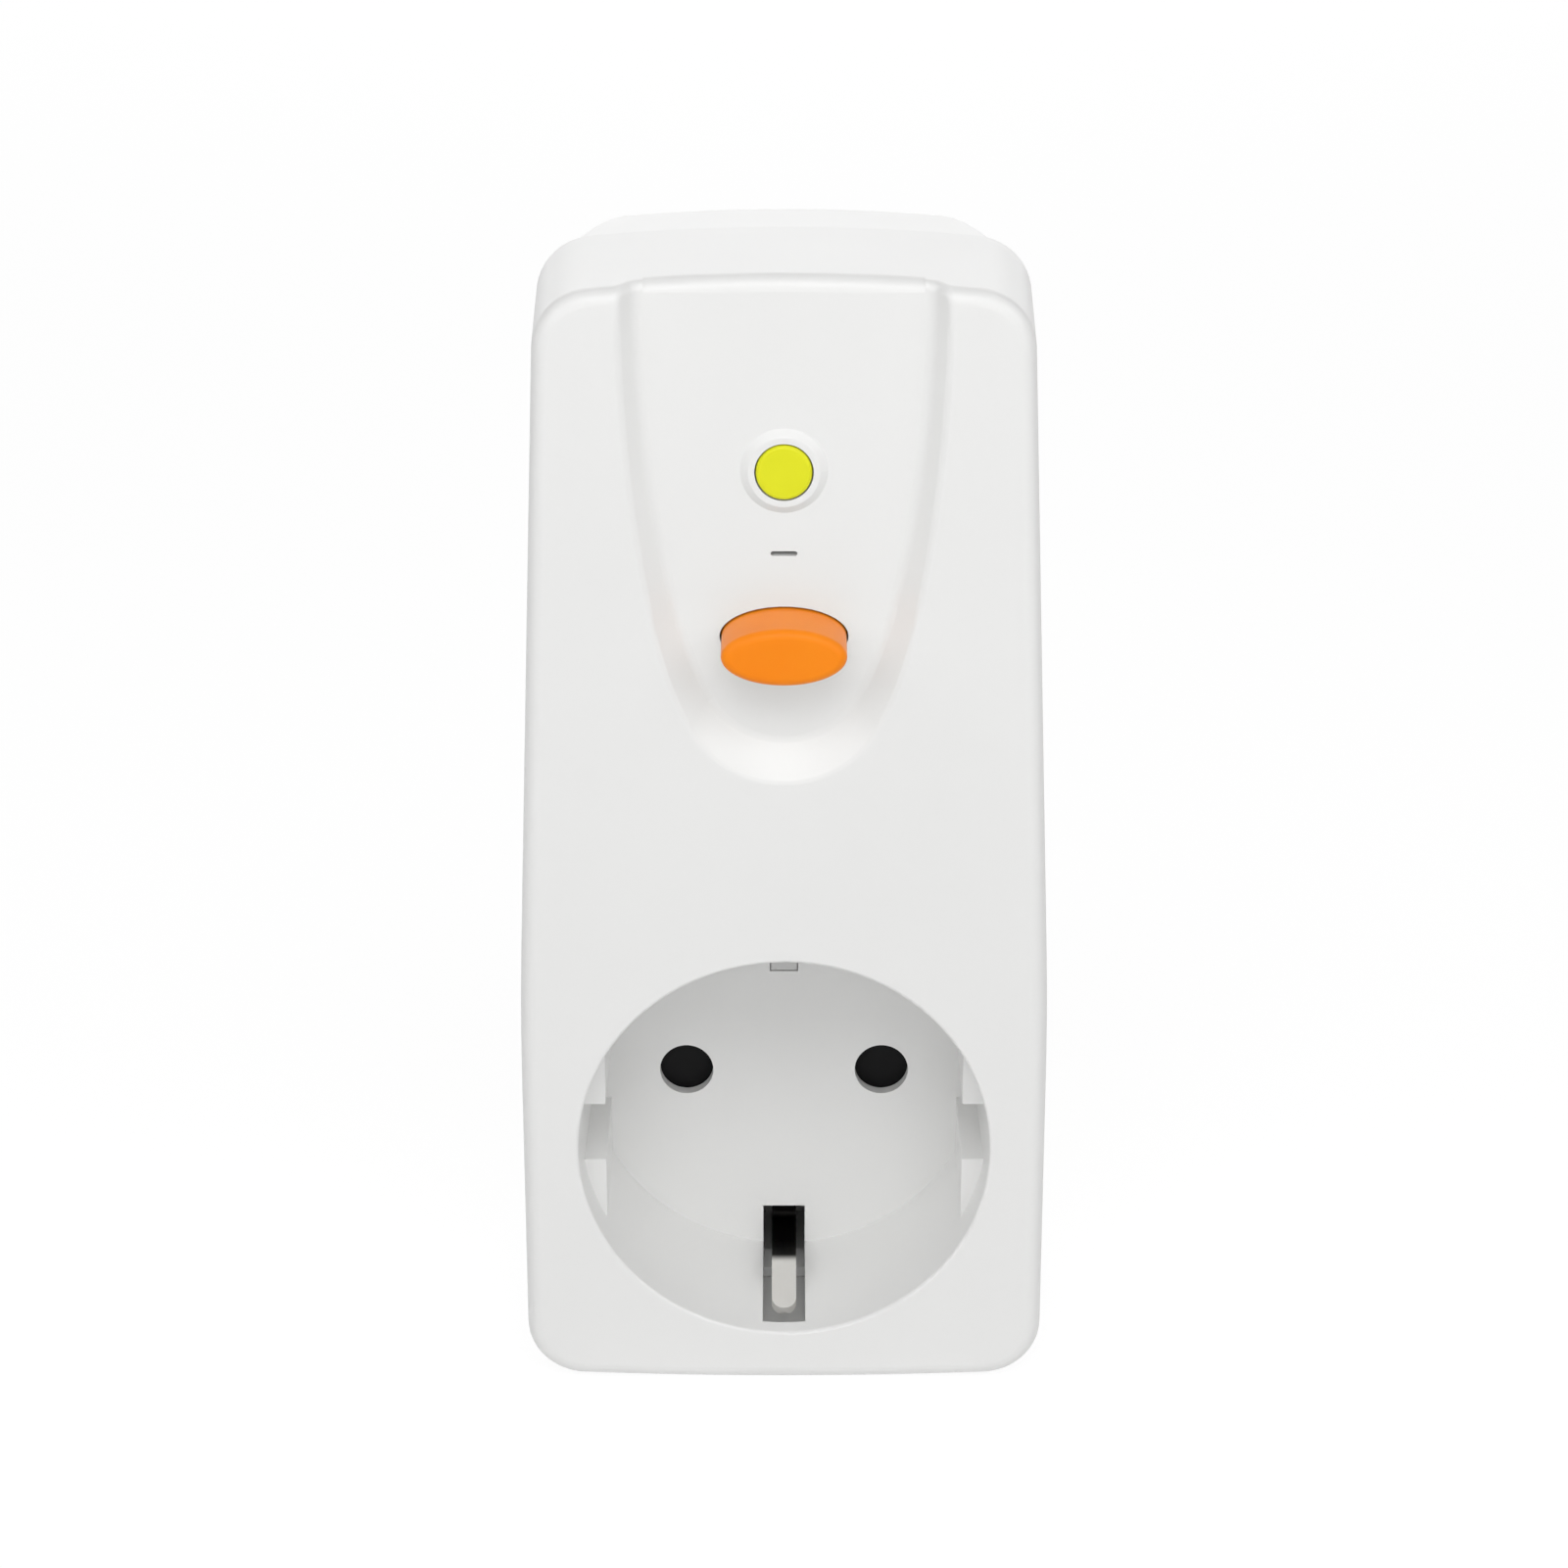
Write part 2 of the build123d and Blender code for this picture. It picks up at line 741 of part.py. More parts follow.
with BuildPart() as back_cover:
    add(housing_section(seam_y + seam_groove, back_grow, low_corner, high_corner))
    add(housing_section(0, -back_draft, back_corner, back_corner))
    loft(ruled=True)
    back_rim = back_cover.faces().sort_by(Axis.Y)[-1].edges()
    fillet(back_rim, radius=back_rounding)
    # The parting groove, and the lip that enters the front cover
    add(housing_section(seam_y, back_grow, low_corner, high_corner, seam_groove))
    extrude(amount=seam_groove + lap, dir=(0, 1, 0))
    add(housing_section(lip_front_y, lip_grow, low_corner, high_corner, wall + fit_gap))
    extrude(amount=lip_end_y - lip_front_y, dir=(0, 1, 0))
    add(plug_body.part)
    add(back_cavity.part, mode=Mode.SUBTRACT)
    # The lip is cut away round the front cover's screw posts.
    with BuildSketch(plane_at(seam_y)):
        with Locations(*screw_places):
            Circle(screw_post_radius + fit_gap)
    extrude(amount=lip_height + lap, mode=Mode.SUBTRACT)
    # It is also cut away where the socket's well passes it.
    with BuildSketch(plane_at(floor_back_y + part_gap)):
        Circle(well_radius + fit_gap)
    extrude(amount=floor_back_y + part_gap - lip_front_y + lap, mode=Mode.SUBTRACT)
    # Hollows for the plug's earth clips, and the slots that the clips come out of
    with BuildSketch(plane_at(0)):
        with Locations((0, clip_slot_radius + boss_radius / 2)):
            Rectangle(2 * clip_slot_half_x, boss_radius)
        mirror(about=Plane.XZ)
    extrude(amount=-(boss_height - boss_wall), mode=Mode.SUBTRACT)
    with BuildSketch(plane_at(-wall - lap)):
        with Locations((0, clip_radius + bracket_thick / 2)):
            Rectangle(2 * (clip_half_x + part_gap), bracket_thick + 2 * part_gap)
        mirror(about=Plane.XZ)
    extrude(amount=-(wall + 2 * lap), mode=Mode.SUBTRACT)
    # Plug pins
    with BuildSketch(plane_at(boss_height + lap)):
        with GridLocations(pin_pitch, 0, 2, 1):
            Circle(plug_pin_root)
    extrude(amount=boss_end_wall + 2 * lap, mode=Mode.SUBTRACT)
    # Housing screws: clearance holes with counterbores
    with BuildSketch(plane_at(0)):
        with Locations(*screw_places):
            Circle(screw_head_radius + 2 * screw_hole_gap)
    extrude(amount=screw_sink + screw_head_height, mode=Mode.SUBTRACT)
    with BuildSketch(plane_at(0)):
        with Locations(*screw_places):
            Circle(screw_radius + screw_hole_gap)
    extrude(amount=-seam_y + lap, mode=Mode.SUBTRACT)
    # Pilot holes for the board's screws
    with BuildSketch(plane_at(board_back_y)):
        with Locations(*board_screw_places):
            Circle(board_screw_radius)
    extrude(amount=-board_screw_depth, mode=Mode.SUBTRACT)

back_cover.part.label = "back_cover"
export_step(back_cover.part, "parts/back_cover.step")


# Plug pins, each with a collar and a tail inside the plug body
def plug_pin(x):
    # A round pin with a rounded tip.
    with BuildPart() as pin:
        with BuildSketch(plane_at(boss_height + plug_pin_length)):
            with Locations((x, 0)):
                Circle(pin_radius)
        extrude(amount=plug_pin_length)
        tip = pin.faces().sort_by(Axis.Y)[-1].edges()
        fillet(tip, radius=plug_pin_tip)
        with BuildSketch(plane_at(boss_height)):
            with Locations((x, 0)):
                Circle(plug_pin_root)
        extrude(amount=boss_end_wall + plug_pin_tail)
        with BuildSketch(plane_at(boss_height - boss_end_wall)):
            with Locations((x, 0)):
                Circle(plug_pin_collar)
        extrude(amount=plug_pin_collar_thick)
    return pin.part


with BuildPart() as line_plug_pin:
    add(plug_pin(-pin_x))

line_plug_pin.part.label = "line_plug_pin"
export_step(line_plug_pin.part, "parts/line_plug_pin.step")

with BuildPart() as neutral_plug_pin:
    add(plug_pin(pin_x))

neutral_plug_pin.part.label = "neutral_plug_pin"
export_step(neutral_plug_pin.part, "parts/neutral_plug_pin.step")

# Earth clips of the plug: two spring strips on one bar, with holes for the rivets
clip_bar_y = clip_bracket_y + bracket_thick / 2
clip_z = clip_radius + bracket_thick / 2
clip_end_y = boss_height - boss_wall - part_gap
clip_line = [
    (clip_bar_y, 0),
    (clip_bar_y, clip_z),
    (clip_start, clip_z),
    (boss_height / 2, clip_z + clip_bulge),
    (clip_end_y - clip_tip_run, clip_z),
    (clip_end_y, clip_z - clip_tip_drop),
]

with BuildPart() as plug_earth_clips:
    add(bent_strip(clip_line, clip_bends, bracket_thick, clip_half_x))
    mirror(about=Plane.XY)
    for rivet_side in (rivet_z, -rivet_z):
        add(cylinder_along_y(0, rivet_side, rivet_radius, bracket_y, 0), mode=Mode.SUBTRACT)

plug_earth_clips.part.label = "plug_earth_clips"
export_step(plug_earth_clips.part, "parts/plug_earth_clips.step")

# Earth bracket of the socket: two strips that lean into the well, and the bar between them
strip_root_y = bracket_y + strip_thick / 2
strip_tip_y = front_y + strip_tip_depth
strip_line = [
    (strip_root_y, 0),
    (strip_root_y, strip_root_radius),
    (floor_y - strip_bend_rise, strip_root_radius),
    (front_y + strip_peak_depth, strip_peak_radius + strip_thick / 2),
    (strip_tip_y, strip_tip_radius - strip_thick / 2),
]

with BuildPart() as socket_strip:
    add(bent_strip(strip_line, strip_bends, strip_thick, strip_half_x))
    # The tip is fully rounded.
    with BuildSketch(Plane.XY):
        with Locations((0, strip_tip_y + strip_half_x + depth / 2)):
            Rectangle(2 * strip_half_x, depth)
        with Locations((0, strip_tip_y + strip_half_x)):
            Circle(strip_half_x)
    extrude(amount=2 * mouth_radius, mode=Mode.INTERSECT)

with BuildPart() as socket_earth_bracket:
    add(socket_strip.part)
    mirror(about=Plane.XY)
    bar_y = (bracket_y, bracket_y + bracket_thick)
    add(block((-bracket_half_x, bracket_half_x), bar_y, (-bracket_half_z, bracket_half_z)))
    for rivet_side in (rivet_z, -rivet_z):
        hole = cylinder_along_y(0, rivet_side, rivet_radius, bracket_y - lap, clip_bracket_y)
        add(hole, mode=Mode.SUBTRACT)

socket_earth_bracket.part.label = "socket_earth_bracket"
export_step(socket_earth_bracket.part, "parts/socket_earth_bracket.step")

with BuildPart() as earth_rivets:
    for rivet_side in (rivet_z, -rivet_z):
        add(cylinder_along_y(0, rivet_side, rivet_radius, bracket_y, rivet_back_y))
        head_back_y = rivet_back_y + rivet_head_height
        add(cylinder_along_y(0, rivet_side, rivet_head_radius, rivet_back_y, head_back_y))

earth_rivets.part.label = "earth_rivets"
export_step(earth_rivets.part, "parts/earth_rivets.step")


# Socket contacts: a slit sleeve round the pin, with a tab for its lead
def socket_contact(x):
    # The slit is open towards the front, so that the sleeve gives way to the pin.
    with BuildPart() as contact:
        with BuildSketch(plane_at(contact_back_y)):
            with Locations((x, 0)):
                Circle(contact_outer)
        extrude(amount=contact_length)
        tab_x = (x - tab_width / 2, x + tab_width / 2)
        add(block(tab_x, (tab_y, tab_y + contact_wall), (0, contact_outer + tab_height)))
        bore = cylinder_along_y(x, 0, contact_radius, contact_y - lap, contact_back_y + lap)
        add(bore, mode=Mode.SUBTRACT)
        slit_x = (x - contact_outer, x + contact_outer)
        slit_y = (contact_y - lap, contact_y + contact_slit_length)
        add(block(slit_x, slit_y, (-contact_slit / 2, contact_slit / 2)), mode=Mode.SUBTRACT)
    return contact.part


with BuildPart() as line_socket_contact:
    add(socket_contact(-pin_x))

line_socket_contact.part.label = "line_socket_contact"
export_step(line_socket_contact.part, "parts/line_socket_contact.step")

with BuildPart() as neutral_socket_contact:
    add(socket_contact(pin_x))

neutral_socket_contact.part.label = "neutral_socket_contact"
export_step(neutral_socket_contact.part, "parts/neutral_socket_contact.step")

# The block that carries both contacts inside the plug body, with a ledge on the back wall
with BuildPart() as contact_block:
    block_z = (-block_half_z, block_half_z)
    add(block((-block_half_x, block_half_x), (block_front_y, block_back_y), block_z))
    add(block((-ledge_half_x, ledge_half_x), (-wall - ledge_thick, -wall), block_z))
    for x in (-pin_x, pin_x):
        hole = cylinder_along_y(x, 0, contact_outer + contact_gap, block_front_y - lap, block_back_y + lap)
        add(hole, mode=Mode.SUBTRACT)

contact_block.part.label = "contact_block"
export_step(contact_block.part, "parts/contact_block.step")

# Shutter: its holes stand above the pins' until it is pushed down
with BuildPart() as shutter:
    with BuildSketch(plane_at(shutter_y + shutter_thick)):
        with Locations((0, (shutter_low_z + shutter_high_z) / 2)):
            RectangleRounded(2 * shutter_half_x, shutter_high_z - shutter_low_z, shutter_corner)
        with Locations((pin_x, shutter_travel), (-pin_x, shutter_travel)):
            Circle(shutter_hole_radius, mode=Mode.SUBTRACT)
        # Opening for the spring and the carrier's peg
        with Locations((0, (shutter_window_low_z + shutter_window_high_z) / 2)):
            window_length = shutter_window_high_z - shutter_window_low_z
            Rectangle(2 * shutter_window_half_x, window_length, mode=Mode.SUBTRACT)
    extrude(amount=shutter_thick)

shutter.part.label = "shutter"
export_step(shutter.part, "parts/shutter.step")

# Shutter carrier: a plate with two side rails, a latch in the floor's window and a spring peg
with BuildPart() as shutter_carrier:
    with BuildSketch(plane_at(carrier_back_y)):
        with Locations((0, (carrier_low_z + carrier_high_z) / 2)):
            RectangleRounded(2 * carrier_half_x, carrier_high_z - carrier_low_z, carrier_corner)
        with GridLocations(pin_pitch, 0, 2, 1):
            Circle(pin_hole_radius + fit_gap, mode=Mode.SUBTRACT)
    extrude(amount=carrier_thick)
    rail_z = (carrier_low_z + carrier_corner, carrier_high_z - carrier_corner)
    add(block((shutter_half_x + part_gap, carrier_half_x), (floor_back_y, carrier_y), rail_z))
    add(block((-carrier_half_x, -shutter_half_x - part_gap), (floor_back_y, carrier_y), rail_z))
    latch_half = latch_window_width / 2 - fit_gap
    latch_z = (latch_window_z + fit_gap, latch_window_z + latch_window_height - fit_gap)
    add(block((-latch_half, latch_half), (floor_y + latch_sink, carrier_y), latch_z))
    peg_z = (spring_peg_z - spring_peg_half_z, spring_peg_z + spring_peg_half_z)
    add(block((-spring_peg_half_x, spring_peg_half_x), (shutter_y - spring_peg_rise, carrier_y), peg_z))

shutter_carrier.part.label = "shutter_carrier"
export_step(shutter_carrier.part, "parts/shutter_carrier.step")

with BuildPart() as shutter_spring:
    spring_start = (0, shutter_y + shutter_thick / 2, peg_z[1] + shutter_spring_gap)
    add(
        coil_spring(
            spring_start,
            (0, 0, 1),
            shutter_spring_radius,
            shutter_spring_wire,
            shutter_spring_pitch,
            shutter_spring_length,
        )
    )

shutter_spring.part.label = "shutter_spring"
export_step(shutter_spring.part, "parts/shutter_spring.step")

# Test button: face, flange behind the panel, stem
with BuildPart() as test_button:
    with BuildSketch(plane_at(flange_y)):
        with Locations((0, test_z)):
            Circle(test_radius)
    extrude(amount=flange_y - panel_y + test_proud)
    cap = test_button.faces().sort_by(Axis.Y)[0].edges()
    fillet(cap, radius=test_dome)
    with BuildSketch(plane_at(flange_y + flange_thick)):
        with Locations((0, test_z)):
            Circle(test_radius + flange_lip)
    extrude(amount=flange_thick)
    with BuildSketch(plane_at(flange_y + flange_thick + test_stem_length)):
        with Locations((0, test_z)):
            Circle(test_stem_radius)
    extrude(amount=test_stem_length)

test_button.part.label = "test_button"
export_step(test_button.part, "parts/test_button.step")

# Reset button, which reaches back to the contact carriage
with BuildPart() as reset_button:
    with BuildSketch(plane_at(flange_y)):
        with Locations((0, reset_z)):
            Ellipse(reset_half_x, reset_half_z)
    extrude(amount=flange_y - panel_y + reset_proud)
    cap = reset_button.faces().sort_by(Axis.Y)[0].edges()
    fillet(cap, radius=reset_rounding)
    with BuildSketch(plane_at(flange_y + flange_thick)):
        with Locations((0, reset_z)):
            Ellipse(reset_half_x + flange_lip, reset_half_z + flange_lip)
    extrude(amount=flange_thick)
    with BuildSketch(plane_at(carriage_y)):
        with Locations((0, reset_z)):
            Ellipse(reset_half_x - flange_lip, reset_half_z - flange_lip / 2)
    extrude(amount=carriage_y - flange_y - flange_thick)

reset_button.part.label = "reset_button"
export_step(reset_button.part, "parts/reset_button.step")

# Contact carriage with its latch tooth and the slanted slot that drives the flag
with BuildPart() as contact_carriage:
    with BuildSketch(plane_at(carriage_back_y)):
        with Locations((0, reset_z)):
            Rectangle(2 * carriage_core_half_x, 2 * carriage_half_z)
            Rectangle(2 * carriage_half_x, 2 * carriage_arm_half_z)
    extrude(amount=carriage_depth)
    pocket_radius = spring_radius + 2 * spring_wire + part_gap
    pocket_y = carriage_back_y - spring_pocket_depth
    pocket = cylinder_along_y(0, reset_z, pocket_radius, pocket_y, carriage_back_y + lap)
    add(pocket, mode=Mode.SUBTRACT)
    tooth_y = (carriage_y, carriage_y + tooth_thick)
    add(block((-tooth_half_x, tooth_half_x), tooth_y, (fin_z - lap, fin_z + tooth_height)))
    add(block((fin_left_x, fin_right_x), (fin_front_y, fin_back_y), (fin_z - fin_root, fin_z + fin_height)))
    with BuildSketch(Plane.XY.offset(fin_z - flag_slot_sink)):
        with Locations((flag_pin_x - flag_travel / 2, flag_pin_y - reset_travel / 2)):
            slot_length = (flag_travel**2 + reset_travel**2) ** 0.5
            slot_angle = degrees(atan2(reset_travel, flag_travel))
            SlotCenterToCenter(slot_length, 2 * (flag_pin_radius + part_gap), rotation=slot_angle)
    extrude(amount=flag_slot_sink + fin_height + lap, mode=Mode.SUBTRACT)

contact_carriage.part.label = "contact_carriage"
export_step(contact_carriage.part, "parts/contact_carriage.step")

# Contact-state flag: its plate behind the window, an arm, and the pin in the carriage's slot
with BuildPart() as state_flag:
    flag_z = (window_z - flag_half_z, window_z + flag_half_z)
    add(block((flag_left_x, flag_right_x), (flag_y, flag_y + flag_thick), flag_z))
    arm_x = (flag_pin_x - flag_pin_radius, flag_pin_x + flag_pin_radius)
    add(block(arm_x, (flag_y, flag_pin_y), (fin_z + fin_height + part_gap, flag_z[1])))
    with BuildSketch(Plane.XY.offset(flag_z[1])):
        with Locations((flag_pin_x, flag_pin_y)):
            Circle(flag_pin_radius)
    extrude(amount=-(flag_z[1] - fin_z - flag_pin_gap))

state_flag.part.label = "state_flag"
export_step(state_flag.part, "parts/state_flag.step")


# Contact bridges, one for each pole, with their silver rivets
def contact_bridge(x):
    # A strip with round ends across both contacts of one pole.
    with BuildPart() as bridge:
        with BuildSketch(plane_at(rivet_y)):
            with Locations((x, reset_z)):
                SlotOverall(2 * bridge_half_z, 2 * bridge_half_x, rotation=90)
        extrude(amount=bridge_thick)
    return bridge.part


with BuildPart() as line_contact_bridge:
    add(contact_bridge(-bridge_x))

line_contact_bridge.part.label = "line_contact_bridge"
export_step(line_contact_bridge.part, "parts/line_contact_bridge.step")

with BuildPart() as neutral_contact_bridge:
    add(contact_bridge(bridge_x))

neutral_contact_bridge.part.label = "neutral_contact_bridge"
export_step(neutral_contact_bridge.part, "parts/neutral_contact_bridge.step")

with BuildPart() as moving_contact_rivets:
    with BuildSketch(plane_at(rivet_y + contact_rivet_height)):
        with Locations((0, reset_z)):
            with GridLocations(2 * bridge_x, rivet_span, 2, 2):
                Circle(contact_rivet_radius)
    extrude(amount=contact_rivet_height)

moving_contact_rivets.part.label = "moving_contact_rivets"
export_step(moving_contact_rivets.part, "parts/moving_contact_rivets.step")

# Fixed contacts: a head above the frame and a shank down to the board
with BuildPart() as fixed_contacts:
    with BuildSketch(plane_at(fixed_contact_y + terminal_head_height)):
        with Locations((0, reset_z)):
            with GridLocations(2 * bridge_x, rivet_span, 2, 2):
                Circle(terminal_head_radius)
    extrude(amount=terminal_head_height)
    with BuildSketch(plane_at(board_y)):
        with Locations((0, reset_z)):
            with GridLocations(2 * bridge_x, rivet_span, 2, 2):
                Circle(terminal_radius)
    extrude(amount=board_y - fixed_contact_y - terminal_head_height)

fixed_contacts.part.label = "fixed_contacts"
export_step(fixed_contacts.part, "parts/fixed_contacts.step")

# Switch frame: base on the board, two guide walls and the spring's post
with BuildPart() as switch_frame:
    with BuildSketch(plane_at(board_y)):
        with Locations((0, reset_z)):
            Rectangle(2 * frame_half_x, 2 * frame_half_z)
            with GridLocations(2 * bridge_x, rivet_span, 2, 2):
                Circle(terminal_radius + fit_gap, mode=Mode.SUBTRACT)
    extrude(amount=frame_base)
    wall_y = (frame_y - frame_reach, frame_y + lap)
    wall_z = (reset_z - frame_wall_half_z, reset_z + frame_wall_half_z)
    wall_inner_x = carriage_half_x + part_gap
    add(block((wall_inner_x, wall_inner_x + frame_wall), wall_y, wall_z))
    add(block((-wall_inner_x - frame_wall, -wall_inner_x), wall_y, wall_z))
    add(cylinder_along_y(0, reset_z, spring_post_radius, frame_y - spring_post_height, frame_y + lap))

switch_frame.part.label = "switch_frame"
export_step(switch_frame.part, "parts/switch_frame.step")

with BuildPart() as reset_spring:
    spring_back_y = frame_y - spring_wire - fit_gap
    spring_rest = frame_y - pocket_y - 2 * (spring_wire + fit_gap)
    spring_start = (0, spring_back_y, reset_z)
    add(coil_spring(spring_start, (0, -1, 0), spring_radius, spring_wire, spring_pitch, spring_rest))

reset_spring.part.label = "reset_spring"
export_step(reset_spring.part, "parts/reset_spring.step")

# Circuit board with notches round the top screw posts
with BuildPart() as circuit_board:
    with BuildSketch(plane_at(board_back_y)):
        with Locations((0, (board_low_z + board_high_z) / 2)):
            Rectangle(2 * board_half_x, board_high_z - board_low_z)
        with Locations(*screw_places[2:]):
            Circle(board_notch, mode=Mode.SUBTRACT)
        with Locations(*board_screw_places):
            Circle(board_screw_radius + fit_gap, mode=Mode.SUBTRACT)
    extrude(amount=board_thick)

circuit_board.part.label = "circuit_board"
export_step(circuit_board.part, "parts/circuit_board.step")

with BuildPart() as board_screws:
    for x, z in board_screw_places:
        tip_y = board_back_y + board_screw_depth - part_gap
        add(cylinder_along_y(x, z, board_screw_radius, board_y, tip_y))
        add(cylinder_along_y(x, z, board_screw_head, board_y - board_screw_head_height, board_y))

board_screws.part.label = "board_screws"
export_step(board_screws.part, "parts/board_screws.step")

# Housing screws with a cross recess
with BuildPart() as housing_screws:
    head_y = -screw_sink
    recess_y = (head_y - recess_depth, head_y + lap)
    for x, z in screw_places:
        add(cylinder_along_y(x, z, screw_head_radius, head_y - screw_head_height, head_y))
        add(cylinder_along_y(x, z, screw_radius, -screw_tip_depth, head_y - screw_head_height))
        across = (x - recess_half_length, x + recess_half_length)
        add(block(across, recess_y, (z - recess_half_width, z + recess_half_width)), mode=Mode.SUBTRACT)
        upright = (z - recess_half_length, z + recess_half_length)
        add(block((x - recess_half_width, x + recess_half_width), recess_y, upright), mode=Mode.SUBTRACT)

housing_screws.part.label = "housing_screws"
export_step(housing_screws.part, "parts/housing_screws.step")

# Current transformer: ring core in its winding, on a cradle
with BuildPart() as toroid_core:
    with BuildSketch(Plane.XY.offset(toroid_z - toroid_height / 2)):
        with Locations((0, toroid_y)):
            Circle(toroid_radius)
            Circle(toroid_hole, mode=Mode.SUBTRACT)
    extrude(amount=toroid_height)

toroid_core.part.label = "toroid_core"
export_step(toroid_core.part, "parts/toroid_core.step")

with BuildPart() as toroid_winding:
    winding_half = toroid_height / 2 + winding_thick
    with BuildSketch(Plane.XY.offset(toroid_z - winding_half)):
        with Locations((0, toroid_y)):
            Circle(toroid_radius + winding_thick)
            Circle(toroid_hole - winding_thick, mode=Mode.SUBTRACT)
    extrude(amount=2 * winding_half)
    rims = toroid_winding.edges().filter_by(GeomType.CIRCLE)
    fillet(rims, radius=winding_rounding)
    add(toroid_core.part, mode=Mode.SUBTRACT)

toroid_winding.part.label = "toroid_winding"
export_step(toroid_winding.part, "parts/toroid_winding.step")

with BuildPart() as transformer_cradle:
    cradle_y = (toroid_y + toroid_radius - cradle_wrap, board_y)
    cradle_z = (toroid_z - cradle_half_z, toroid_z + cradle_half_z)
    add(block((-cradle_half_x, cradle_half_x), cradle_y, cradle_z))
    with BuildSketch(Plane.XY.offset(toroid_z - winding_half)):
        with Locations((0, toroid_y)):
            Circle(toroid_radius + winding_thick + contact_gap)
    extrude(amount=2 * winding_half, mode=Mode.SUBTRACT)

transformer_cradle.part.label = "transformer_cradle"
export_step(transformer_cradle.part, "parts/transformer_cradle.step")


# Leads from the socket contacts, through the transformer, to the board
def load_lead(side):
    # side is -1 for the line and 1 for the neutral.
    points = [
        (side * pin_x, load_lead_y, load_lead_low_z),
        (side * pin_x, load_lead_y, load_lead_bend_z),
        (side * lead_hole_x, toroid_y, toroid_z - lead_run_in),
        (side * lead_hole_x, toroid_y, toroid_z + lead_run_out),
        (side * bridge_x, load_lead_end_y, load_lead_z),
        (side * bridge_x, board_y, load_lead_z),
    ]
    return lead(points, load_lead_bends)


with BuildPart() as line_load_lead:
    add(load_lead(-1))

line_load_lead.part.label = "line_load_lead"
export_step(line_load_lead.part, "parts/line_load_lead.step")

with BuildPart() as neutral_load_lead:
    add(load_lead(1))

neutral_load_lead.part.label = "neutral_load_lead"
export_step(neutral_load_lead.part, "parts/neutral_load_lead.step")


# Leads from the plug pins' tails, along the back wall, to the board
def supply_lead(side):
    # side is -1 for the line and 1 for the neutral.
    tail_y = boss_height - boss_end_wall - plug_pin_tail
    points = [
        (side * pin_x, tail_y, 0),
        (side * pin_x, tail_y - supply_lead_rise, 0),
        (side * pin_x, tail_y - supply_lead_rise, supply_lead_z),
        (side * pin_x, supply_lead_y, supply_lead_z),
        (side * pin_x, supply_lead_y, supply_lead_top),
    ]
    return lead(points, supply_lead_bends)


with BuildPart() as line_supply_lead:
    add(supply_lead(-1))

line_supply_lead.part.label = "line_supply_lead"
export_step(line_supply_lead.part, "parts/line_supply_lead.step")

with BuildPart() as neutral_supply_lead:
    add(supply_lead(1))

neutral_supply_lead.part.label = "neutral_supply_lead"
export_step(neutral_supply_lead.part, "parts/neutral_supply_lead.step")

# Test circuit: leaf spring, the post it is pressed on, and its resistor
with BuildPart() as test_leaf_spring:
    with BuildSketch(Plane.XY.offset(test_z)):
        with BuildLine():
            leaf_mid_y = leaf_y + leaf_thick / 2
            leaf_line = [(leaf_x, board_y), (leaf_x, leaf_mid_y), (leaf_end_x, leaf_mid_y)]
            FilletPolyline(*leaf_line, radius=leaf_bend)
        trace(line_width=leaf_thick)
    extrude(amount=leaf_half_z, both=True)

test_leaf_spring.part.label = "test_leaf_spring"
export_step(test_leaf_spring.part, "parts/test_leaf_spring.step")

with BuildPart() as test_contact_post:
    post_top_y = leaf_y + leaf_thick + test_travel + fit_gap
    add(cylinder_along_y(test_post_x, test_z, test_post_radius, post_top_y, board_y))

test_contact_post.part.label = "test_contact_post"
export_step(test_contact_post.part, "parts/test_contact_post.step")

with BuildPart() as test_resistor:
    with BuildSketch(Plane.YZ.offset(resistor_left_x)):
        with Locations((resistor_y, resistor_z)):
            Circle(resistor_radius)
    extrude(amount=resistor_length)
    rims = test_resistor.edges().filter_by(GeomType.CIRCLE)
    fillet(rims, radius=resistor_rounding)
    middle_x = resistor_left_x + resistor_length / 2
    wire_y = (resistor_y - resistor_wire, resistor_y + resistor_wire)
    wire_z = (resistor_z - resistor_wire, resistor_z + resistor_wire)
    for x in (resistor_left_x - resistor_lead_run, resistor_left_x + resistor_length + resistor_lead_run):
        add(cylinder_along_y(x, resistor_z, resistor_wire, resistor_y, board_y))
        add(block((min(x, middle_x), max(x, middle_x)), wire_y, wire_z))

test_resistor.part.label = "test_resistor"
export_step(test_resistor.part, "parts/test_resistor.step")

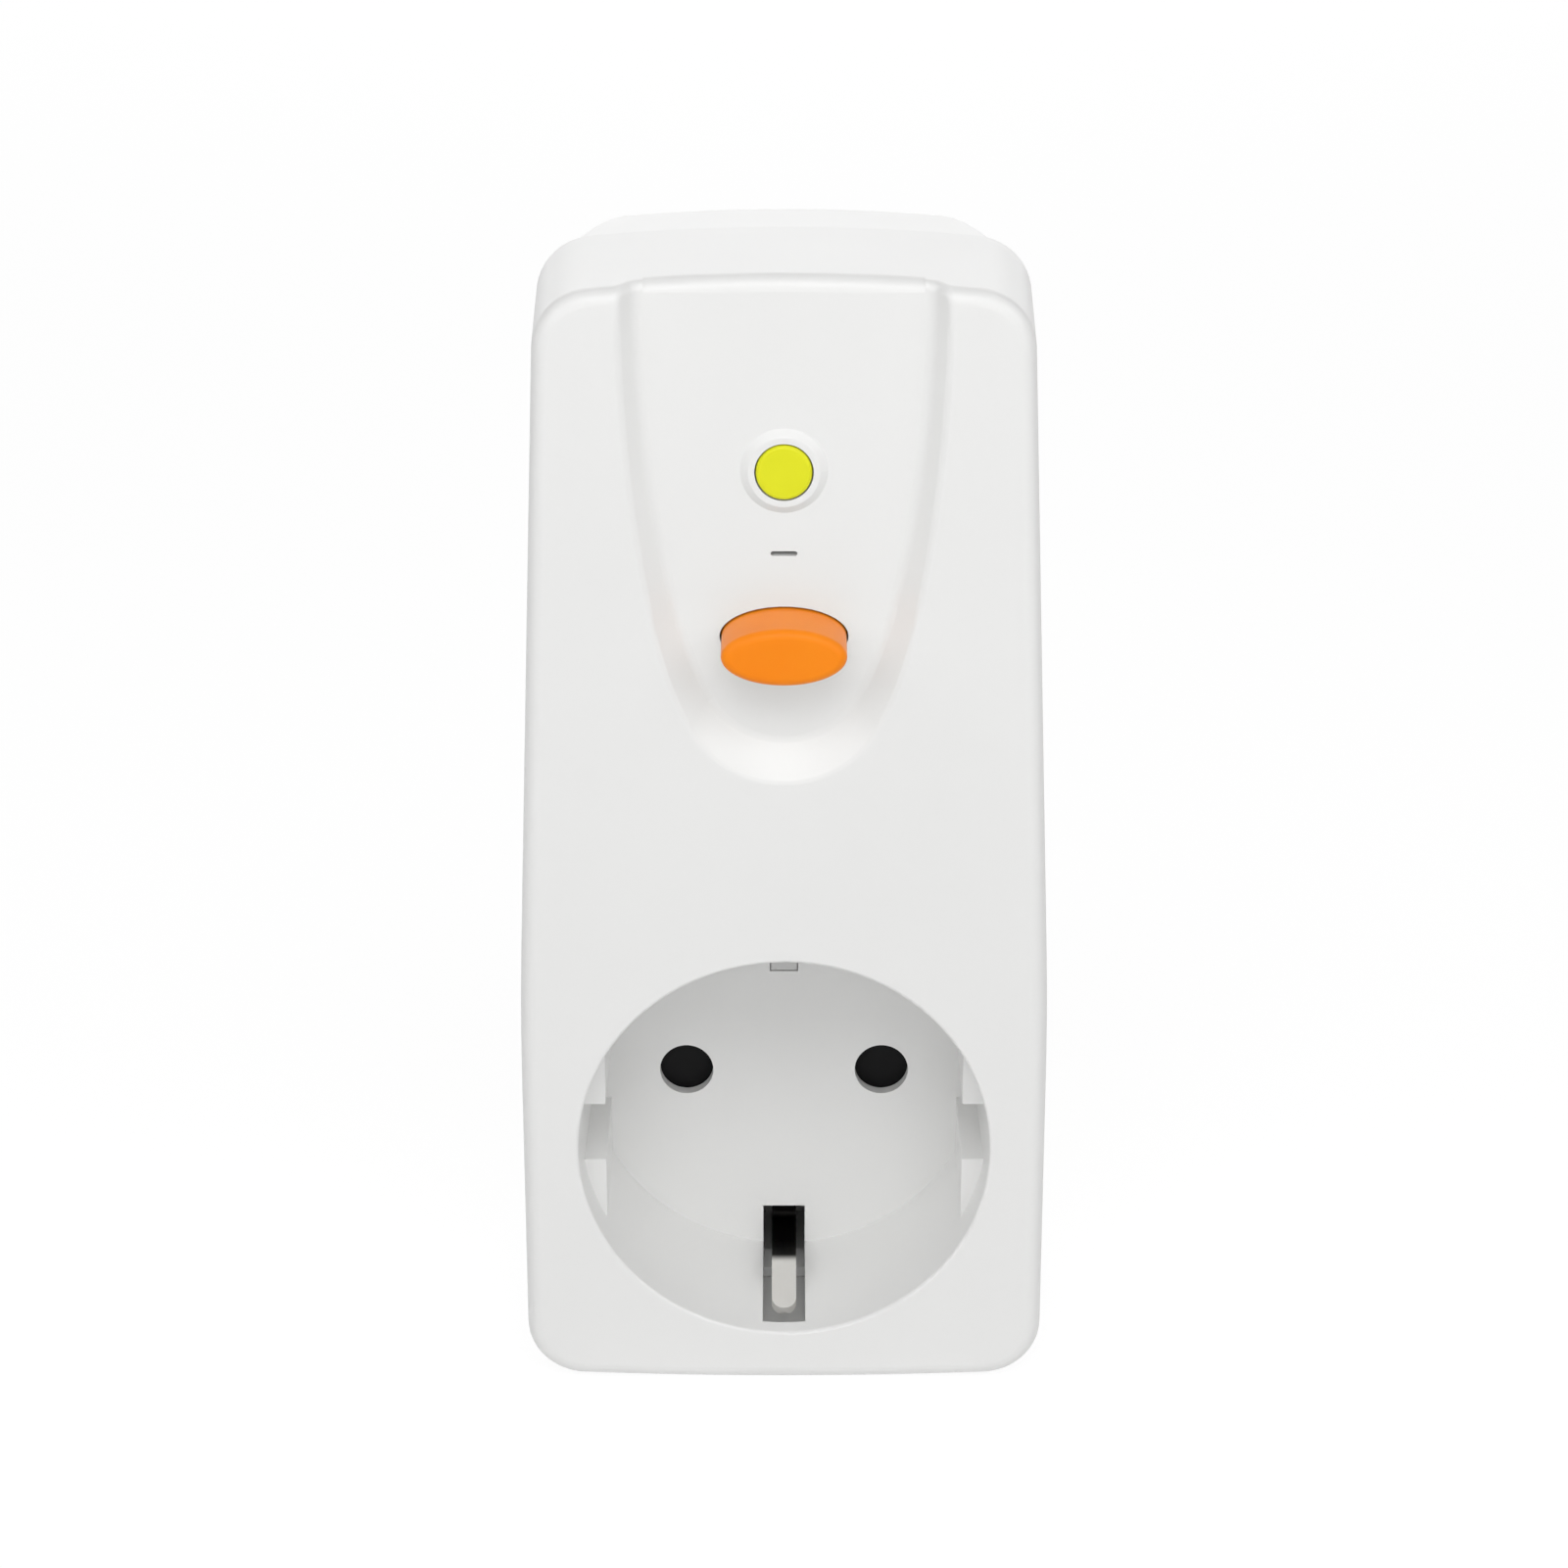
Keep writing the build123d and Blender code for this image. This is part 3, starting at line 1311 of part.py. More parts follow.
# Trip lever: a hub with a hook in front and a fork behind, over the plunger's disc
with BuildPart() as latch_lever:
    with BuildSketch(Plane.YZ):
        with Locations((lever_pivot_y, lever_pivot_z)):
            Circle(lever_hub_radius)
        hook_left = lever_hook_y - lever_hook_thick / 2
        with Locations(((hook_left + lever_pivot_y) / 2, lever_pivot_z)):
            Rectangle(lever_pivot_y - hook_left, lever_arm_thick)
        hook_low = fin_z + tooth_height + part_gap
        hook_high = lever_pivot_z + lever_arm_thick / 2
        with Locations((lever_hook_y, (hook_low + hook_high) / 2)):
            Rectangle(lever_hook_thick, hook_high - hook_low)
    extrude(amount=lever_half_x, both=True)
    prong_low = plunger_low_z + plunger_disc_thick + prong_rise
    prong_high = prong_low + lever_arm_thick
    fork_half = prong_inner + prong_width
    add(block((-fork_half, fork_half), (lever_pivot_y + fork_root, prong_end_y), (prong_low, prong_high)))
    fork_y = (plunger_y - prong_inner, prong_end_y + lap)
    add(block((-prong_inner, prong_inner), fork_y, (prong_low - lap, prong_high + lap)), mode=Mode.SUBTRACT)
    with BuildSketch(Plane.YZ.offset(-fork_half)):
        with Locations((lever_pivot_y, lever_pivot_z)):
            Circle(lever_pin_radius + pivot_gap)
    extrude(amount=2 * fork_half, mode=Mode.SUBTRACT)

latch_lever.part.label = "latch_lever"
export_step(latch_lever.part, "parts/latch_lever.step")

with BuildPart() as latch_pin:
    with BuildSketch(Plane.YZ.offset(-lever_pin_half)):
        with Locations((lever_pivot_y, lever_pivot_z)):
            Circle(lever_pin_radius)
    extrude(amount=2 * lever_pin_half)

latch_pin.part.label = "latch_pin"
export_step(latch_pin.part, "parts/latch_pin.step")

# Latch bracket: a foot on the board and two ears that hold the pin
with BuildPart() as latch_bracket:
    foot_z = (bracket_foot_low_z, bracket_foot_high_z)
    add(block((-lever_pin_half, lever_pin_half), (board_y - bracket_foot_thick, board_y), foot_z))
    ear_y = (lever_pivot_y - ear_reach, board_y)
    ear_z = (lever_pivot_z - ear_half_z, lever_pivot_z + ear_half_z)
    add(block((lever_pin_half - ear_thick, lever_pin_half), ear_y, ear_z))
    add(block((-lever_pin_half, ear_thick - lever_pin_half), ear_y, ear_z))
    add(latch_pin.part, mode=Mode.SUBTRACT)

latch_bracket.part.label = "latch_bracket"
export_step(latch_bracket.part, "parts/latch_bracket.step")

# Electromagnet: plunger, bobbin, winding, yoke and pole piece, all round one vertical axis
with BuildPart() as trip_plunger:
    add(ring(plunger_low_z, plunger_high_z, plunger_radius))
    add(ring(plunger_low_z, plunger_low_z + plunger_disc_thick, plunger_disc_radius))
    spring_bore = ring(trip_bore_low_z, plunger_high_z + lap, trip_spring_radius + trip_bore_gap)
    add(spring_bore, mode=Mode.SUBTRACT)

trip_plunger.part.label = "trip_plunger"
export_step(trip_plunger.part, "parts/trip_plunger.step")

with BuildPart() as coil_bobbin:
    add(ring(coil_low, coil_high, coil_bore + bobbin_wall, coil_bore))
    add(ring(coil_low, coil_low + bobbin_flange, bobbin_radius, coil_bore))
    add(ring(coil_high - bobbin_flange, coil_high, bobbin_radius, coil_bore))

coil_bobbin.part.label = "coil_bobbin"
export_step(coil_bobbin.part, "parts/coil_bobbin.step")

with BuildPart() as coil_winding:
    add(ring(coil_low + bobbin_flange, coil_high - bobbin_flange, winding_radius, coil_bore + bobbin_wall))

coil_winding.part.label = "coil_winding"
export_step(coil_winding.part, "parts/coil_winding.step")

with BuildPart() as magnet_yoke:
    add(block((-yoke_half_x, yoke_half_x), (yoke_front_y, board_y), (yoke_low_z, yoke_high_z)))
    yoke_inner_x = yoke_half_x - yoke_thick
    opening_y = (yoke_front_y - lap, board_y + lap)
    add(block((-yoke_inner_x, yoke_inner_x), opening_y, (coil_low, coil_high)), mode=Mode.SUBTRACT)
    add(ring(yoke_low_z - lap, coil_low + lap, coil_bore), mode=Mode.SUBTRACT)
    add(ring(coil_high - lap, yoke_high_z + lap, coil_bore), mode=Mode.SUBTRACT)

magnet_yoke.part.label = "magnet_yoke"
export_step(magnet_yoke.part, "parts/magnet_yoke.step")

with BuildPart() as pole_piece:
    add(ring(coil_high - pole_length, yoke_high_z, coil_bore))

pole_piece.part.label = "pole_piece"
export_step(pole_piece.part, "parts/pole_piece.step")

with BuildPart() as trip_spring:
    trip_spring_low_z = trip_bore_low_z + trip_spring_wire + trip_bottom_gap
    trip_spring_high_z = coil_high - pole_length - trip_spring_wire - trip_top_gap
    add(
        coil_spring(
            (0, plunger_y, trip_spring_low_z),
            (0, 0, 1),
            trip_spring_radius,
            trip_spring_wire,
            trip_spring_pitch,
            trip_spring_high_z - trip_spring_low_z,
        )
    )

trip_spring.part.label = "trip_spring"
export_step(trip_spring.part, "parts/trip_spring.step")

# Components on the board
with BuildPart() as varistor:
    with BuildSketch(Plane.YZ.offset(varistor_left_x)):
        with Locations((board_y - varistor_rise, varistor_z)):
            Circle(varistor_radius)
    extrude(amount=varistor_thick)
    rims = varistor.edges().filter_by(GeomType.CIRCLE)
    fillet(rims, radius=varistor_rounding)
    leg_x = varistor_left_x + varistor_thick / 2
    for z in (varistor_z - varistor_leg_half_span, varistor_z + varistor_leg_half_span):
        add(cylinder_along_y(leg_x, z, varistor_wire, board_y - varistor_leg_length, board_y))

varistor.part.label = "varistor"
export_step(varistor.part, "parts/varistor.step")

with BuildPart() as film_capacitor:
    add(block(capacitor_x, (board_y - capacitor_height, board_y), capacitor_z))
    fillet(film_capacitor.edges().filter_by(Axis.Y), radius=capacitor_rounding)

film_capacitor.part.label = "film_capacitor"
export_step(film_capacitor.part, "parts/film_capacitor.step")

with BuildPart() as trip_chip:
    chip_y = (board_y - chip_height, board_y - chip_stand_off)
    chip_z = (chip_mid_z - chip_half_z, chip_mid_z + chip_half_z)
    add(block((-chip_half_x, chip_half_x), chip_y, chip_z))
    legs_z = (chip_mid_z - chip_half_z - chip_leg_out, chip_mid_z + chip_half_z + chip_leg_out)
    for step in (-1.5, -0.5, 0.5, 1.5):
        x = step * chip_leg_pitch
        add(block((x - chip_leg_half_x, x + chip_leg_half_x), (board_y - chip_leg_height, board_y), legs_z))

trip_chip.part.label = "trip_chip"
export_step(trip_chip.part, "parts/trip_chip.step")

# Thyristor in a round case with one flat side, on three legs
with BuildPart() as thyristor:
    with BuildSketch(plane_at(board_y - thyristor_stand_off)):
        with Locations((thyristor_x, thyristor_z)):
            Circle(thyristor_radius)
        with Locations((thyristor_x, thyristor_z - thyristor_flat_z)):
            Rectangle(2 * thyristor_radius + 2 * thyristor_wire, thyristor_flat_cut, mode=Mode.SUBTRACT)
    extrude(amount=thyristor_height)
    for x in (thyristor_x - thyristor_leg_pitch, thyristor_x, thyristor_x + thyristor_leg_pitch):
        leg_start_y = board_y - thyristor_stand_off - part_gap
        add(cylinder_along_y(x, thyristor_z, thyristor_wire, leg_start_y, board_y))

thyristor.part.label = "thyristor"
export_step(thyristor.part, "parts/thyristor.step")
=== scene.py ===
import bpy
import json
from math import pi, radians
from mathutils import Matrix, Vector


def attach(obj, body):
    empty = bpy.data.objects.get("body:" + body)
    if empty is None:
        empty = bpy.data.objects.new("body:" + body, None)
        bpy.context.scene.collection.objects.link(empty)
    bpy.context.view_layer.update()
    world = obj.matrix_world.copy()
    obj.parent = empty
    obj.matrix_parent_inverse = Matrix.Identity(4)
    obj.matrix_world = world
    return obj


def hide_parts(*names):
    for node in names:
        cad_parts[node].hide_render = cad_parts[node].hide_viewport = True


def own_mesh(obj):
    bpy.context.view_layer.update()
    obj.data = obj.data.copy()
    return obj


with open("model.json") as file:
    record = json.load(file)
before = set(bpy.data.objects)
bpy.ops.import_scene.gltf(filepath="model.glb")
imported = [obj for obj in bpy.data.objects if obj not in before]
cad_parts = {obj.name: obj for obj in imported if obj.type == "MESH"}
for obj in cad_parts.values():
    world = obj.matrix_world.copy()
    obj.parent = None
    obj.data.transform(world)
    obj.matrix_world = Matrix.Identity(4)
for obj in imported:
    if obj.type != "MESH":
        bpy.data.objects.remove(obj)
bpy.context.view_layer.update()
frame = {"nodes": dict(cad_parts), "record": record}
nodes = frame["nodes"]
mm = 0.001
bpy.ops.object.select_all(action="DESELECT")
print("frame loaded,", len(nodes), "nodes")


# Materials

def toLinear(hexColour):
    channels = [int(hexColour[i:i + 2], 16) / 255 for i in (1, 3, 5)]
    return [c / 12.92 if c <= 0.04045 else ((c + 0.055) / 1.055) ** 2.4 for c in channels] + [1.0]


def addNode(tree, kind, settings=None, inputs=None, links=None):
    node = tree.nodes.new(kind)
    for name, value in (settings or {}).items():
        setattr(node, name, value)
    for name, value in (inputs or {}).items():
        node.inputs[name].default_value = value
    for name, socket in (links or {}).items():
        tree.links.new(socket, node.inputs[name])
    return node


def newMaterial(name):
    material = bpy.data.materials.new(name)
    material.use_nodes = True
    tree = material.node_tree
    tree.nodes.clear()
    surface = addNode(tree, "ShaderNodeBsdfPrincipled")
    addNode(tree, "ShaderNodeOutputMaterial", links={"Surface": surface.outputs[0]})
    coords = addNode(tree, "ShaderNodeTexCoord")
    return material, tree, surface, coords.outputs["Object"]


def perMetre(sizeInMm):
    # a Noise or Voronoi scale that gives features of this size
    return 1.0 / (sizeInMm * mm)


# what all moulded plastics share
plasticSkin = {"glossSpread": 0.03, "grainDepthMm": 0.02, "lightReachMm": (0.9, 0.8, 0.7)}


def mouldedPlastic(look):
    # injection-moulded plastic: a cloudy tone, fine eroded grain from the steel mould, a soft gloss
    material, tree, surface, coords = newMaterial(look["name"])
    cloud = addNode(tree, "ShaderNodeTexNoise", inputs={"Scale": perMetre(look["cloudMm"]), "Detail": 2.0},
                    links={"Vector": coords})
    tone = addNode(tree, "ShaderNodeMix", {"data_type": "RGBA"},
                   {6: toLinear(look["light"]), 7: toLinear(look["dark"])}, {0: cloud.outputs["Fac"]})
    grain = addNode(tree, "ShaderNodeTexNoise", inputs={"Scale": perMetre(look["grainMm"]), "Detail": 3.0},
                    links={"Vector": coords})
    gloss = addNode(tree, "ShaderNodeMapRange",
                    inputs={"To Min": look["roughness"] - plasticSkin["glossSpread"],
                            "To Max": look["roughness"] + plasticSkin["glossSpread"]},
                    links={"Value": cloud.outputs["Fac"]})
    bump = addNode(tree, "ShaderNodeBump",
                   inputs={"Strength": look["bump"], "Distance": plasticSkin["grainDepthMm"] * mm},
                   links={"Height": grain.outputs["Fac"]})
    colour = tone.outputs[2]
    if "spill" in look:
        # a paler colour for the light that it throws on its neighbours, which the photo hardly shows
        path = addNode(tree, "ShaderNodeLightPath")
        spill = addNode(tree, "ShaderNodeMix", {"data_type": "RGBA"}, {7: toLinear(look["spill"])},
                        {0: path.outputs["Is Diffuse Ray"], 6: colour})
        colour = spill.outputs[2]
    tree.links.new(colour, surface.inputs["Base Color"])
    tree.links.new(gloss.outputs[0], surface.inputs["Roughness"])
    tree.links.new(bump.outputs[0], surface.inputs["Normal"])
    surface.inputs["IOR"].default_value = look["ior"]
    surface.inputs["Specular IOR Level"].default_value = look.get("specular", 0.5)
    surface.inputs["Subsurface Weight"].default_value = look.get("glow", 0.0)
    surface.inputs["Subsurface Radius"].default_value = [reach * mm for reach in plasticSkin["lightReachMm"]]
    surface.inputs["Subsurface Scale"].default_value = 1.0
    return material


# what all metals share: the hairlines polish more than they dull
metalSkin = {"brighter": 0.06, "duller": 0.08, "lineDepthMm": 0.01}


def metal(look):
    # worked metal: faint tone drift, hairlines along its rolling or drawing direction, uneven polish
    material, tree, surface, coords = newMaterial(look["name"])
    stretch = addNode(tree, "ShaderNodeMapping", inputs={"Scale": look["stretch"]}, links={"Vector": coords})
    lines = addNode(tree, "ShaderNodeTexNoise", inputs={"Scale": perMetre(look["lineMm"]), "Detail": 4.0},
                    links={"Vector": stretch.outputs[0]})
    blot = addNode(tree, "ShaderNodeTexNoise", inputs={"Scale": perMetre(look["blotMm"]), "Detail": 2.0},
                   links={"Vector": coords})
    tone = addNode(tree, "ShaderNodeMix", {"data_type": "RGBA"},
                   {6: toLinear(look["light"]), 7: toLinear(look["dark"])}, {0: blot.outputs["Fac"]})
    polish = addNode(tree, "ShaderNodeMapRange",
                     inputs={"To Min": look["roughness"] - metalSkin["brighter"],
                             "To Max": look["roughness"] + metalSkin["duller"]},
                     links={"Value": lines.outputs["Fac"]})
    bump = addNode(tree, "ShaderNodeBump",
                   inputs={"Strength": look["bump"], "Distance": metalSkin["lineDepthMm"] * mm},
                   links={"Height": lines.outputs["Fac"]})
    colour = tone.outputs[2]
    # painted shade: past a depth along Y the metal's colour fades smoothly to a near-black shade colour
    if "paintedShade" in look:
        axes = addNode(tree, "ShaderNodeSeparateXYZ", links={"Vector": coords})
        shadeDepth = addNode(tree, "ShaderNodeMapRange", {"interpolation_type": "SMOOTHSTEP"},
                         {"From Min": look["paintedShadeFrom"], "From Max": look["paintedShadeTo"]}, {"Value": axes.outputs["Y"]})
        shadedTone = addNode(tree, "ShaderNodeMix", {"data_type": "RGBA"}, {6: toLinear(look["paintedShade"])},
                       {0: shadeDepth.outputs[0], 7: colour})
        colour = shadedTone.outputs[2]
    tree.links.new(colour, surface.inputs["Base Color"])
    tree.links.new(polish.outputs[0], surface.inputs["Roughness"])
    tree.links.new(bump.outputs[0], surface.inputs["Normal"])
    surface.inputs["Metallic"].default_value = 1.0
    return material


# ABS, satin-moulded: bright neutral white with a broad soft highlight
whiteAbs = mouldedPlastic({"name": "whiteAbsMoulded", "light": "#EFEFEE", "dark": "#EBEBEA",
                           "cloudMm": 30, "grainMm": 0.25, "roughness": 0.33, "bump": 0.25, "ior": 1.52, "glow": 0.0})
# ABS dyed yellow-green: strong even colour, slightly see-through at its edge
yellowAbs = mouldedPlastic({"name": "yellowAbsMoulded", "light": "#EAEA26", "dark": "#E2E31F",
                            "cloudMm": 4, "grainMm": 0.2, "roughness": 0.36, "bump": 0.2, "ior": 1.52, "glow": 0.1,
                            "specular": 0.2, "spill": "#DCDCD0"})
# ABS dyed orange: saturated, glowing where it is thin
orangeAbs = mouldedPlastic({"name": "orangeAbsMoulded", "light": "#FF9210", "dark": "#FB8504",
                            "cloudMm": 6, "grainMm": 0.2, "roughness": 0.38, "bump": 0.2, "ior": 1.52, "glow": 0.1,
                            "specular": 0.2, "spill": "#D8CCC0"})
# polyamide with soot: nearly black, dull
blackNylon = mouldedPlastic({"name": "blackNylonMoulded", "light": "#0B0B0C", "dark": "#060607",
                             "cloudMm": 5, "grainMm": 0.15, "roughness": 0.6, "bump": 0.35, "ior": 1.53, "specular": 0.15})
# polyamide, moulded: pale neutral grey, waxy
paleNylon = mouldedPlastic({"name": "paleNylonMoulded", "light": "#D4D4D3", "dark": "#CBCBCA",
                            "cloudMm": 5, "grainMm": 0.2, "roughness": 0.45, "bump": 0.25, "ior": 1.53})
# glass-filled polyamide: dull grey with a coarse skin
greyNylon = mouldedPlastic({"name": "greyNylonMoulded", "light": "#9A9CA0", "dark": "#8C8E93",
                            "cloudMm": 6, "grainMm": 0.18, "roughness": 0.6, "bump": 0.5, "ior": 1.53})
# PVC insulation, brown and blue: smooth and waxy
brownPvc = mouldedPlastic({"name": "brownPvcExtruded", "light": "#5E3820", "dark": "#4F2E19",
                           "cloudMm": 8, "grainMm": 0.3, "roughness": 0.42, "bump": 0.2, "ior": 1.53})
bluePvc = mouldedPlastic({"name": "bluePvcExtruded", "light": "#2A4FA8", "dark": "#214394",
                          "cloudMm": 8, "grainMm": 0.3, "roughness": 0.42, "bump": 0.2, "ior": 1.53})
# dipped epoxy: glossy and a little lumpy
blueEpoxy = mouldedPlastic({"name": "blueEpoxyDipped", "light": "#24519E", "dark": "#1B4188",
                            "cloudMm": 3, "grainMm": 1.2, "roughness": 0.25, "bump": 0.8, "ior": 1.55})
# polyester case, glossy amber-yellow
yellowPbt = mouldedPlastic({"name": "yellowPbtMoulded", "light": "#D9A227", "dark": "#CC951C",
                            "cloudMm": 5, "grainMm": 0.2, "roughness": 0.35, "bump": 0.3, "ior": 1.55})
# lacquered ceramic, beige and glossy
beigeLacquer = mouldedPlastic({"name": "beigeLacquerDipped", "light": "#C9B48A", "dark": "#BDA67B",
                               "cloudMm": 2, "grainMm": 0.8, "roughness": 0.3, "bump": 0.4, "ior": 1.5})
# glass-epoxy laminate under green solder mask: dark green with the weave's ghost
greenLaminate = mouldedPlastic({"name": "greenLaminatePressed", "light": "#23703C", "dark": "#1A6033",
                                "cloudMm": 7, "grainMm": 0.6, "roughness": 0.34, "bump": 0.6, "ior": 1.55})
# powder-coated ferrite core: charcoal, slightly rough
ferrite = mouldedPlastic({"name": "ferriteCoated", "light": "#3A3A3D", "dark": "#303033",
                          "cloudMm": 3, "grainMm": 0.2, "roughness": 0.5, "bump": 0.8, "ior": 1.55})
# brass strip, nickel plated and tumbled: bright neutral metal
nickelBrass = metal({"name": "brassNickelPlated", "light": "#EDECE9", "dark": "#E2E0DC",
                     "lineMm": 0.25, "blotMm": 4, "roughness": 0.22, "bump": 0.15, "stretch": (1.0, 0.12, 1.0)})
# the same plating on the socket's earth strips: satin and bright, with painted shade that turns them nearly black
# behind the floor
earthStrip = metal({"name": "brassNickelEarthStrip", "light": "#F2F1EE", "dark": "#E8E6E2",
                    "lineMm": 0.25, "blotMm": 4, "roughness": 0.48, "bump": 0.15, "stretch": (1.0, 0.12, 1.0),
                    "paintedShade": "#1C1B1A", "paintedShadeFrom": -20.5 * mm, "paintedShadeTo": -22.4 * mm})
# bare rolled brass: warm yellow metal
bareBrass = metal({"name": "brassRolled", "light": "#DDBB6C", "dark": "#CDA757",
                   "lineMm": 0.25, "blotMm": 4, "roughness": 0.28, "bump": 0.2, "stretch": (1.0, 0.12, 1.0)})
# silver alloy contact, pressed: pale and matt
silverContact = metal({"name": "silverPressed", "light": "#E8E6E0", "dark": "#DAD7D0",
                       "lineMm": 0.2, "blotMm": 1.5, "roughness": 0.35, "bump": 0.2, "stretch": (1.0, 1.0, 1.0)})
# spring steel wire, drawn: mid grey with fine drawing lines
springSteel = metal({"name": "springSteelDrawn", "light": "#A9ABAE", "dark": "#96989C",
                     "lineMm": 0.15, "blotMm": 2, "roughness": 0.3, "bump": 0.2, "stretch": (1.0, 1.0, 1.0)})
# mild steel, zinc plated: cool grey-blue metal, a bit cloudy
zincSteel = metal({"name": "steelZincPlated", "light": "#BFC4CA", "dark": "#A9AFB7",
                   "lineMm": 0.3, "blotMm": 2.5, "roughness": 0.32, "bump": 0.25, "stretch": (1.0, 1.0, 1.0)})
# enamelled copper wire: deep orange-red metal under clear enamel
copperWire = metal({"name": "copperEnamelled", "light": "#C46A34", "dark": "#B25B29",
                    "lineMm": 0.25, "blotMm": 3, "roughness": 0.25, "bump": 0.3, "stretch": (1.0, 1.0, 0.2)})

finishes = {
    "white_abs": whiteAbs, "yellow_plastic": yellowAbs, "orange_plastic": orangeAbs, "dark_plastic": blackNylon,
    "pale_plastic": paleNylon, "grey_plastic": greyNylon, "nickel_brass": nickelBrass, "bare_brass": bareBrass,
    "silver": silverContact,
    "spring_steel": springSteel, "zinc_steel": zincSteel, "board_laminate": greenLaminate,
    "copper_winding": copperWire, "ferrite": ferrite, "brown_insulation": brownPvc, "blue_insulation": bluePvc,
    "varistor_coat": blueEpoxy, "capacitor_case": yellowPbt, "resistor_body": beigeLacquer,
}
for entry in frame["record"]["subparts"]:
    node = nodes[entry["node"]]
    node.data.materials.clear()
    node.data.materials.append(finishes[entry["material_slot"]])
nodes["socket_earth_bracket"].data.materials[0] = earthStrip
print("materials on", len(nodes), "nodes")


# Springs: three wound from round wire, and a flat leaf copied from its node

meshFinish = {"mergeMm": 0.001, "smoothBelow": 40}


def selectOnly(piece):
    bpy.ops.object.select_all(action="DESELECT")
    piece.select_set(True)
    bpy.context.view_layer.objects.active = piece


def closeAndSmooth(piece):
    selectOnly(piece)
    bpy.ops.object.mode_set(mode="EDIT")
    bpy.ops.mesh.select_all(action="SELECT")
    bpy.ops.mesh.remove_doubles(threshold=meshFinish["mergeMm"] * mm)
    bpy.ops.mesh.fill_holes(sides=0)
    bpy.ops.mesh.normals_make_consistent(inside=False)
    bpy.ops.object.mode_set(mode="OBJECT")
    bpy.ops.object.shade_smooth_by_angle(angle=radians(meshFinish["smoothBelow"]))


wire = {"sides": 10, "stepsPerTurn": 20}


def windSpring(look):
    # a ring of wire swept up a screw line along Z, then turned and moved into place
    bpy.ops.object.select_all(action="DESELECT")
    bpy.ops.mesh.primitive_circle_add(vertices=wire["sides"], radius=look["wireMm"] * mm,
                                      location=(look["radiusMm"] * mm, 0, 0), rotation=(radians(90), 0, 0))
    spring = bpy.context.object
    spring.name = look["name"]
    spring.data.name = look["name"]
    bpy.ops.object.transform_apply(location=True, rotation=True, scale=True)
    screw = spring.modifiers.new("wind", "SCREW")
    screw.axis = "Z"
    screw.angle = 2 * pi * look["turns"]
    screw.screw_offset = look["lengthMm"] * mm
    screw.steps = int(wire["stepsPerTurn"] * look["turns"])
    screw.render_steps = screw.steps
    screw.iterations = 1
    bpy.ops.object.modifier_apply(modifier="wind")
    spring.rotation_euler = look["turn"]
    spring.location = [c * mm for c in look["startMm"]]
    bpy.ops.object.transform_apply(location=True, rotation=True, scale=True)
    closeAndSmooth(spring)
    spring.data.materials.append(springSteel)
    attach(spring, "housing")
    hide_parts(look["node"])
    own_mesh(spring)


springs = [
    {"name": "resetSpring", "node": "reset_spring", "joint": "reset_press",
     "wireMm": 0.25, "radiusMm": 2.3, "turns": 5.65, "lengthMm": 11.3, "turn": (radians(90), 0, 0),
     "startMm": (0, -8.35, 50.4), "axis": (0, 1, 0), "anchorMm": (0, -8.1, 50.4), "keep": 0.61},
    {"name": "shutterSpring", "node": "shutter_spring", "joint": "shutter_slide",
     "wireMm": 0.13, "radiusMm": 0.55, "turns": 7.4, "lengthMm": 9.6, "turn": (0, 0, 0),
     "startMm": (0, -13.05, -2.0), "axis": (0, 0, 1), "anchorMm": (0, -13.05, -2.13), "keep": 0.38},
    {"name": "tripSpring", "node": "trip_spring", "joint": "plunger_slide",
     "wireMm": 0.12, "radiusMm": 0.75, "turns": 4.6, "lengthMm": 5.1, "turn": (0, 0, 0),
     "startMm": (0, -12.0, 67.87), "axis": (0, 0, 1), "anchorMm": (0, -12.0, 73.09), "keep": 0.77},
]
for look in springs:
    windSpring(look)


leafLook = {"node": "test_leaf_spring", "joint": "test_press", "anchorMm": (0, -6.6, 65.9), "keep": 0.932}


def pressLeaf():
    # a merged, smoothed copy of the test circuit's leaf, in place of its node
    node = nodes[leafLook["node"]]
    leaf = node.copy()
    leaf.data = node.data.copy()
    leaf.name = "testLeaf"
    leaf.data.name = "testLeaf"
    bpy.context.scene.collection.objects.link(leaf)
    closeAndSmooth(leaf)
    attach(leaf, "housing")
    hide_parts(leafLook["node"])
    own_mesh(leaf)


pressLeaf()
print("springs wound,", len(springs) + 1, "pieces")


# Stage: pale floor, white surroundings, soft lamps

stageLook = {"floorZ": -24.5 * mm, "floorSize": 6.0, "floorColour": "#F4F4F4", "fibreColour": "#F1F1F1",
             "fibreMm": 1.5, "floorGlow": 1.1, "glowShare": 0.82, "worldLight": 0.20, "cameraWhite": 1.0}


def seenDirectly(tree):
    # 1 where the camera, a mirror or glass sees it, 0 where it lights something
    path = addNode(tree, "ShaderNodeLightPath")
    seen = addNode(tree, "ShaderNodeMath", {"operation": "MAXIMUM"},
                   links={0: path.outputs["Is Camera Ray"], 1: path.outputs["Is Glossy Ray"]})
    return addNode(tree, "ShaderNodeMath", {"operation": "MAXIMUM"},
                   links={0: seen.outputs[0], 1: path.outputs["Is Transmission Ray"]})


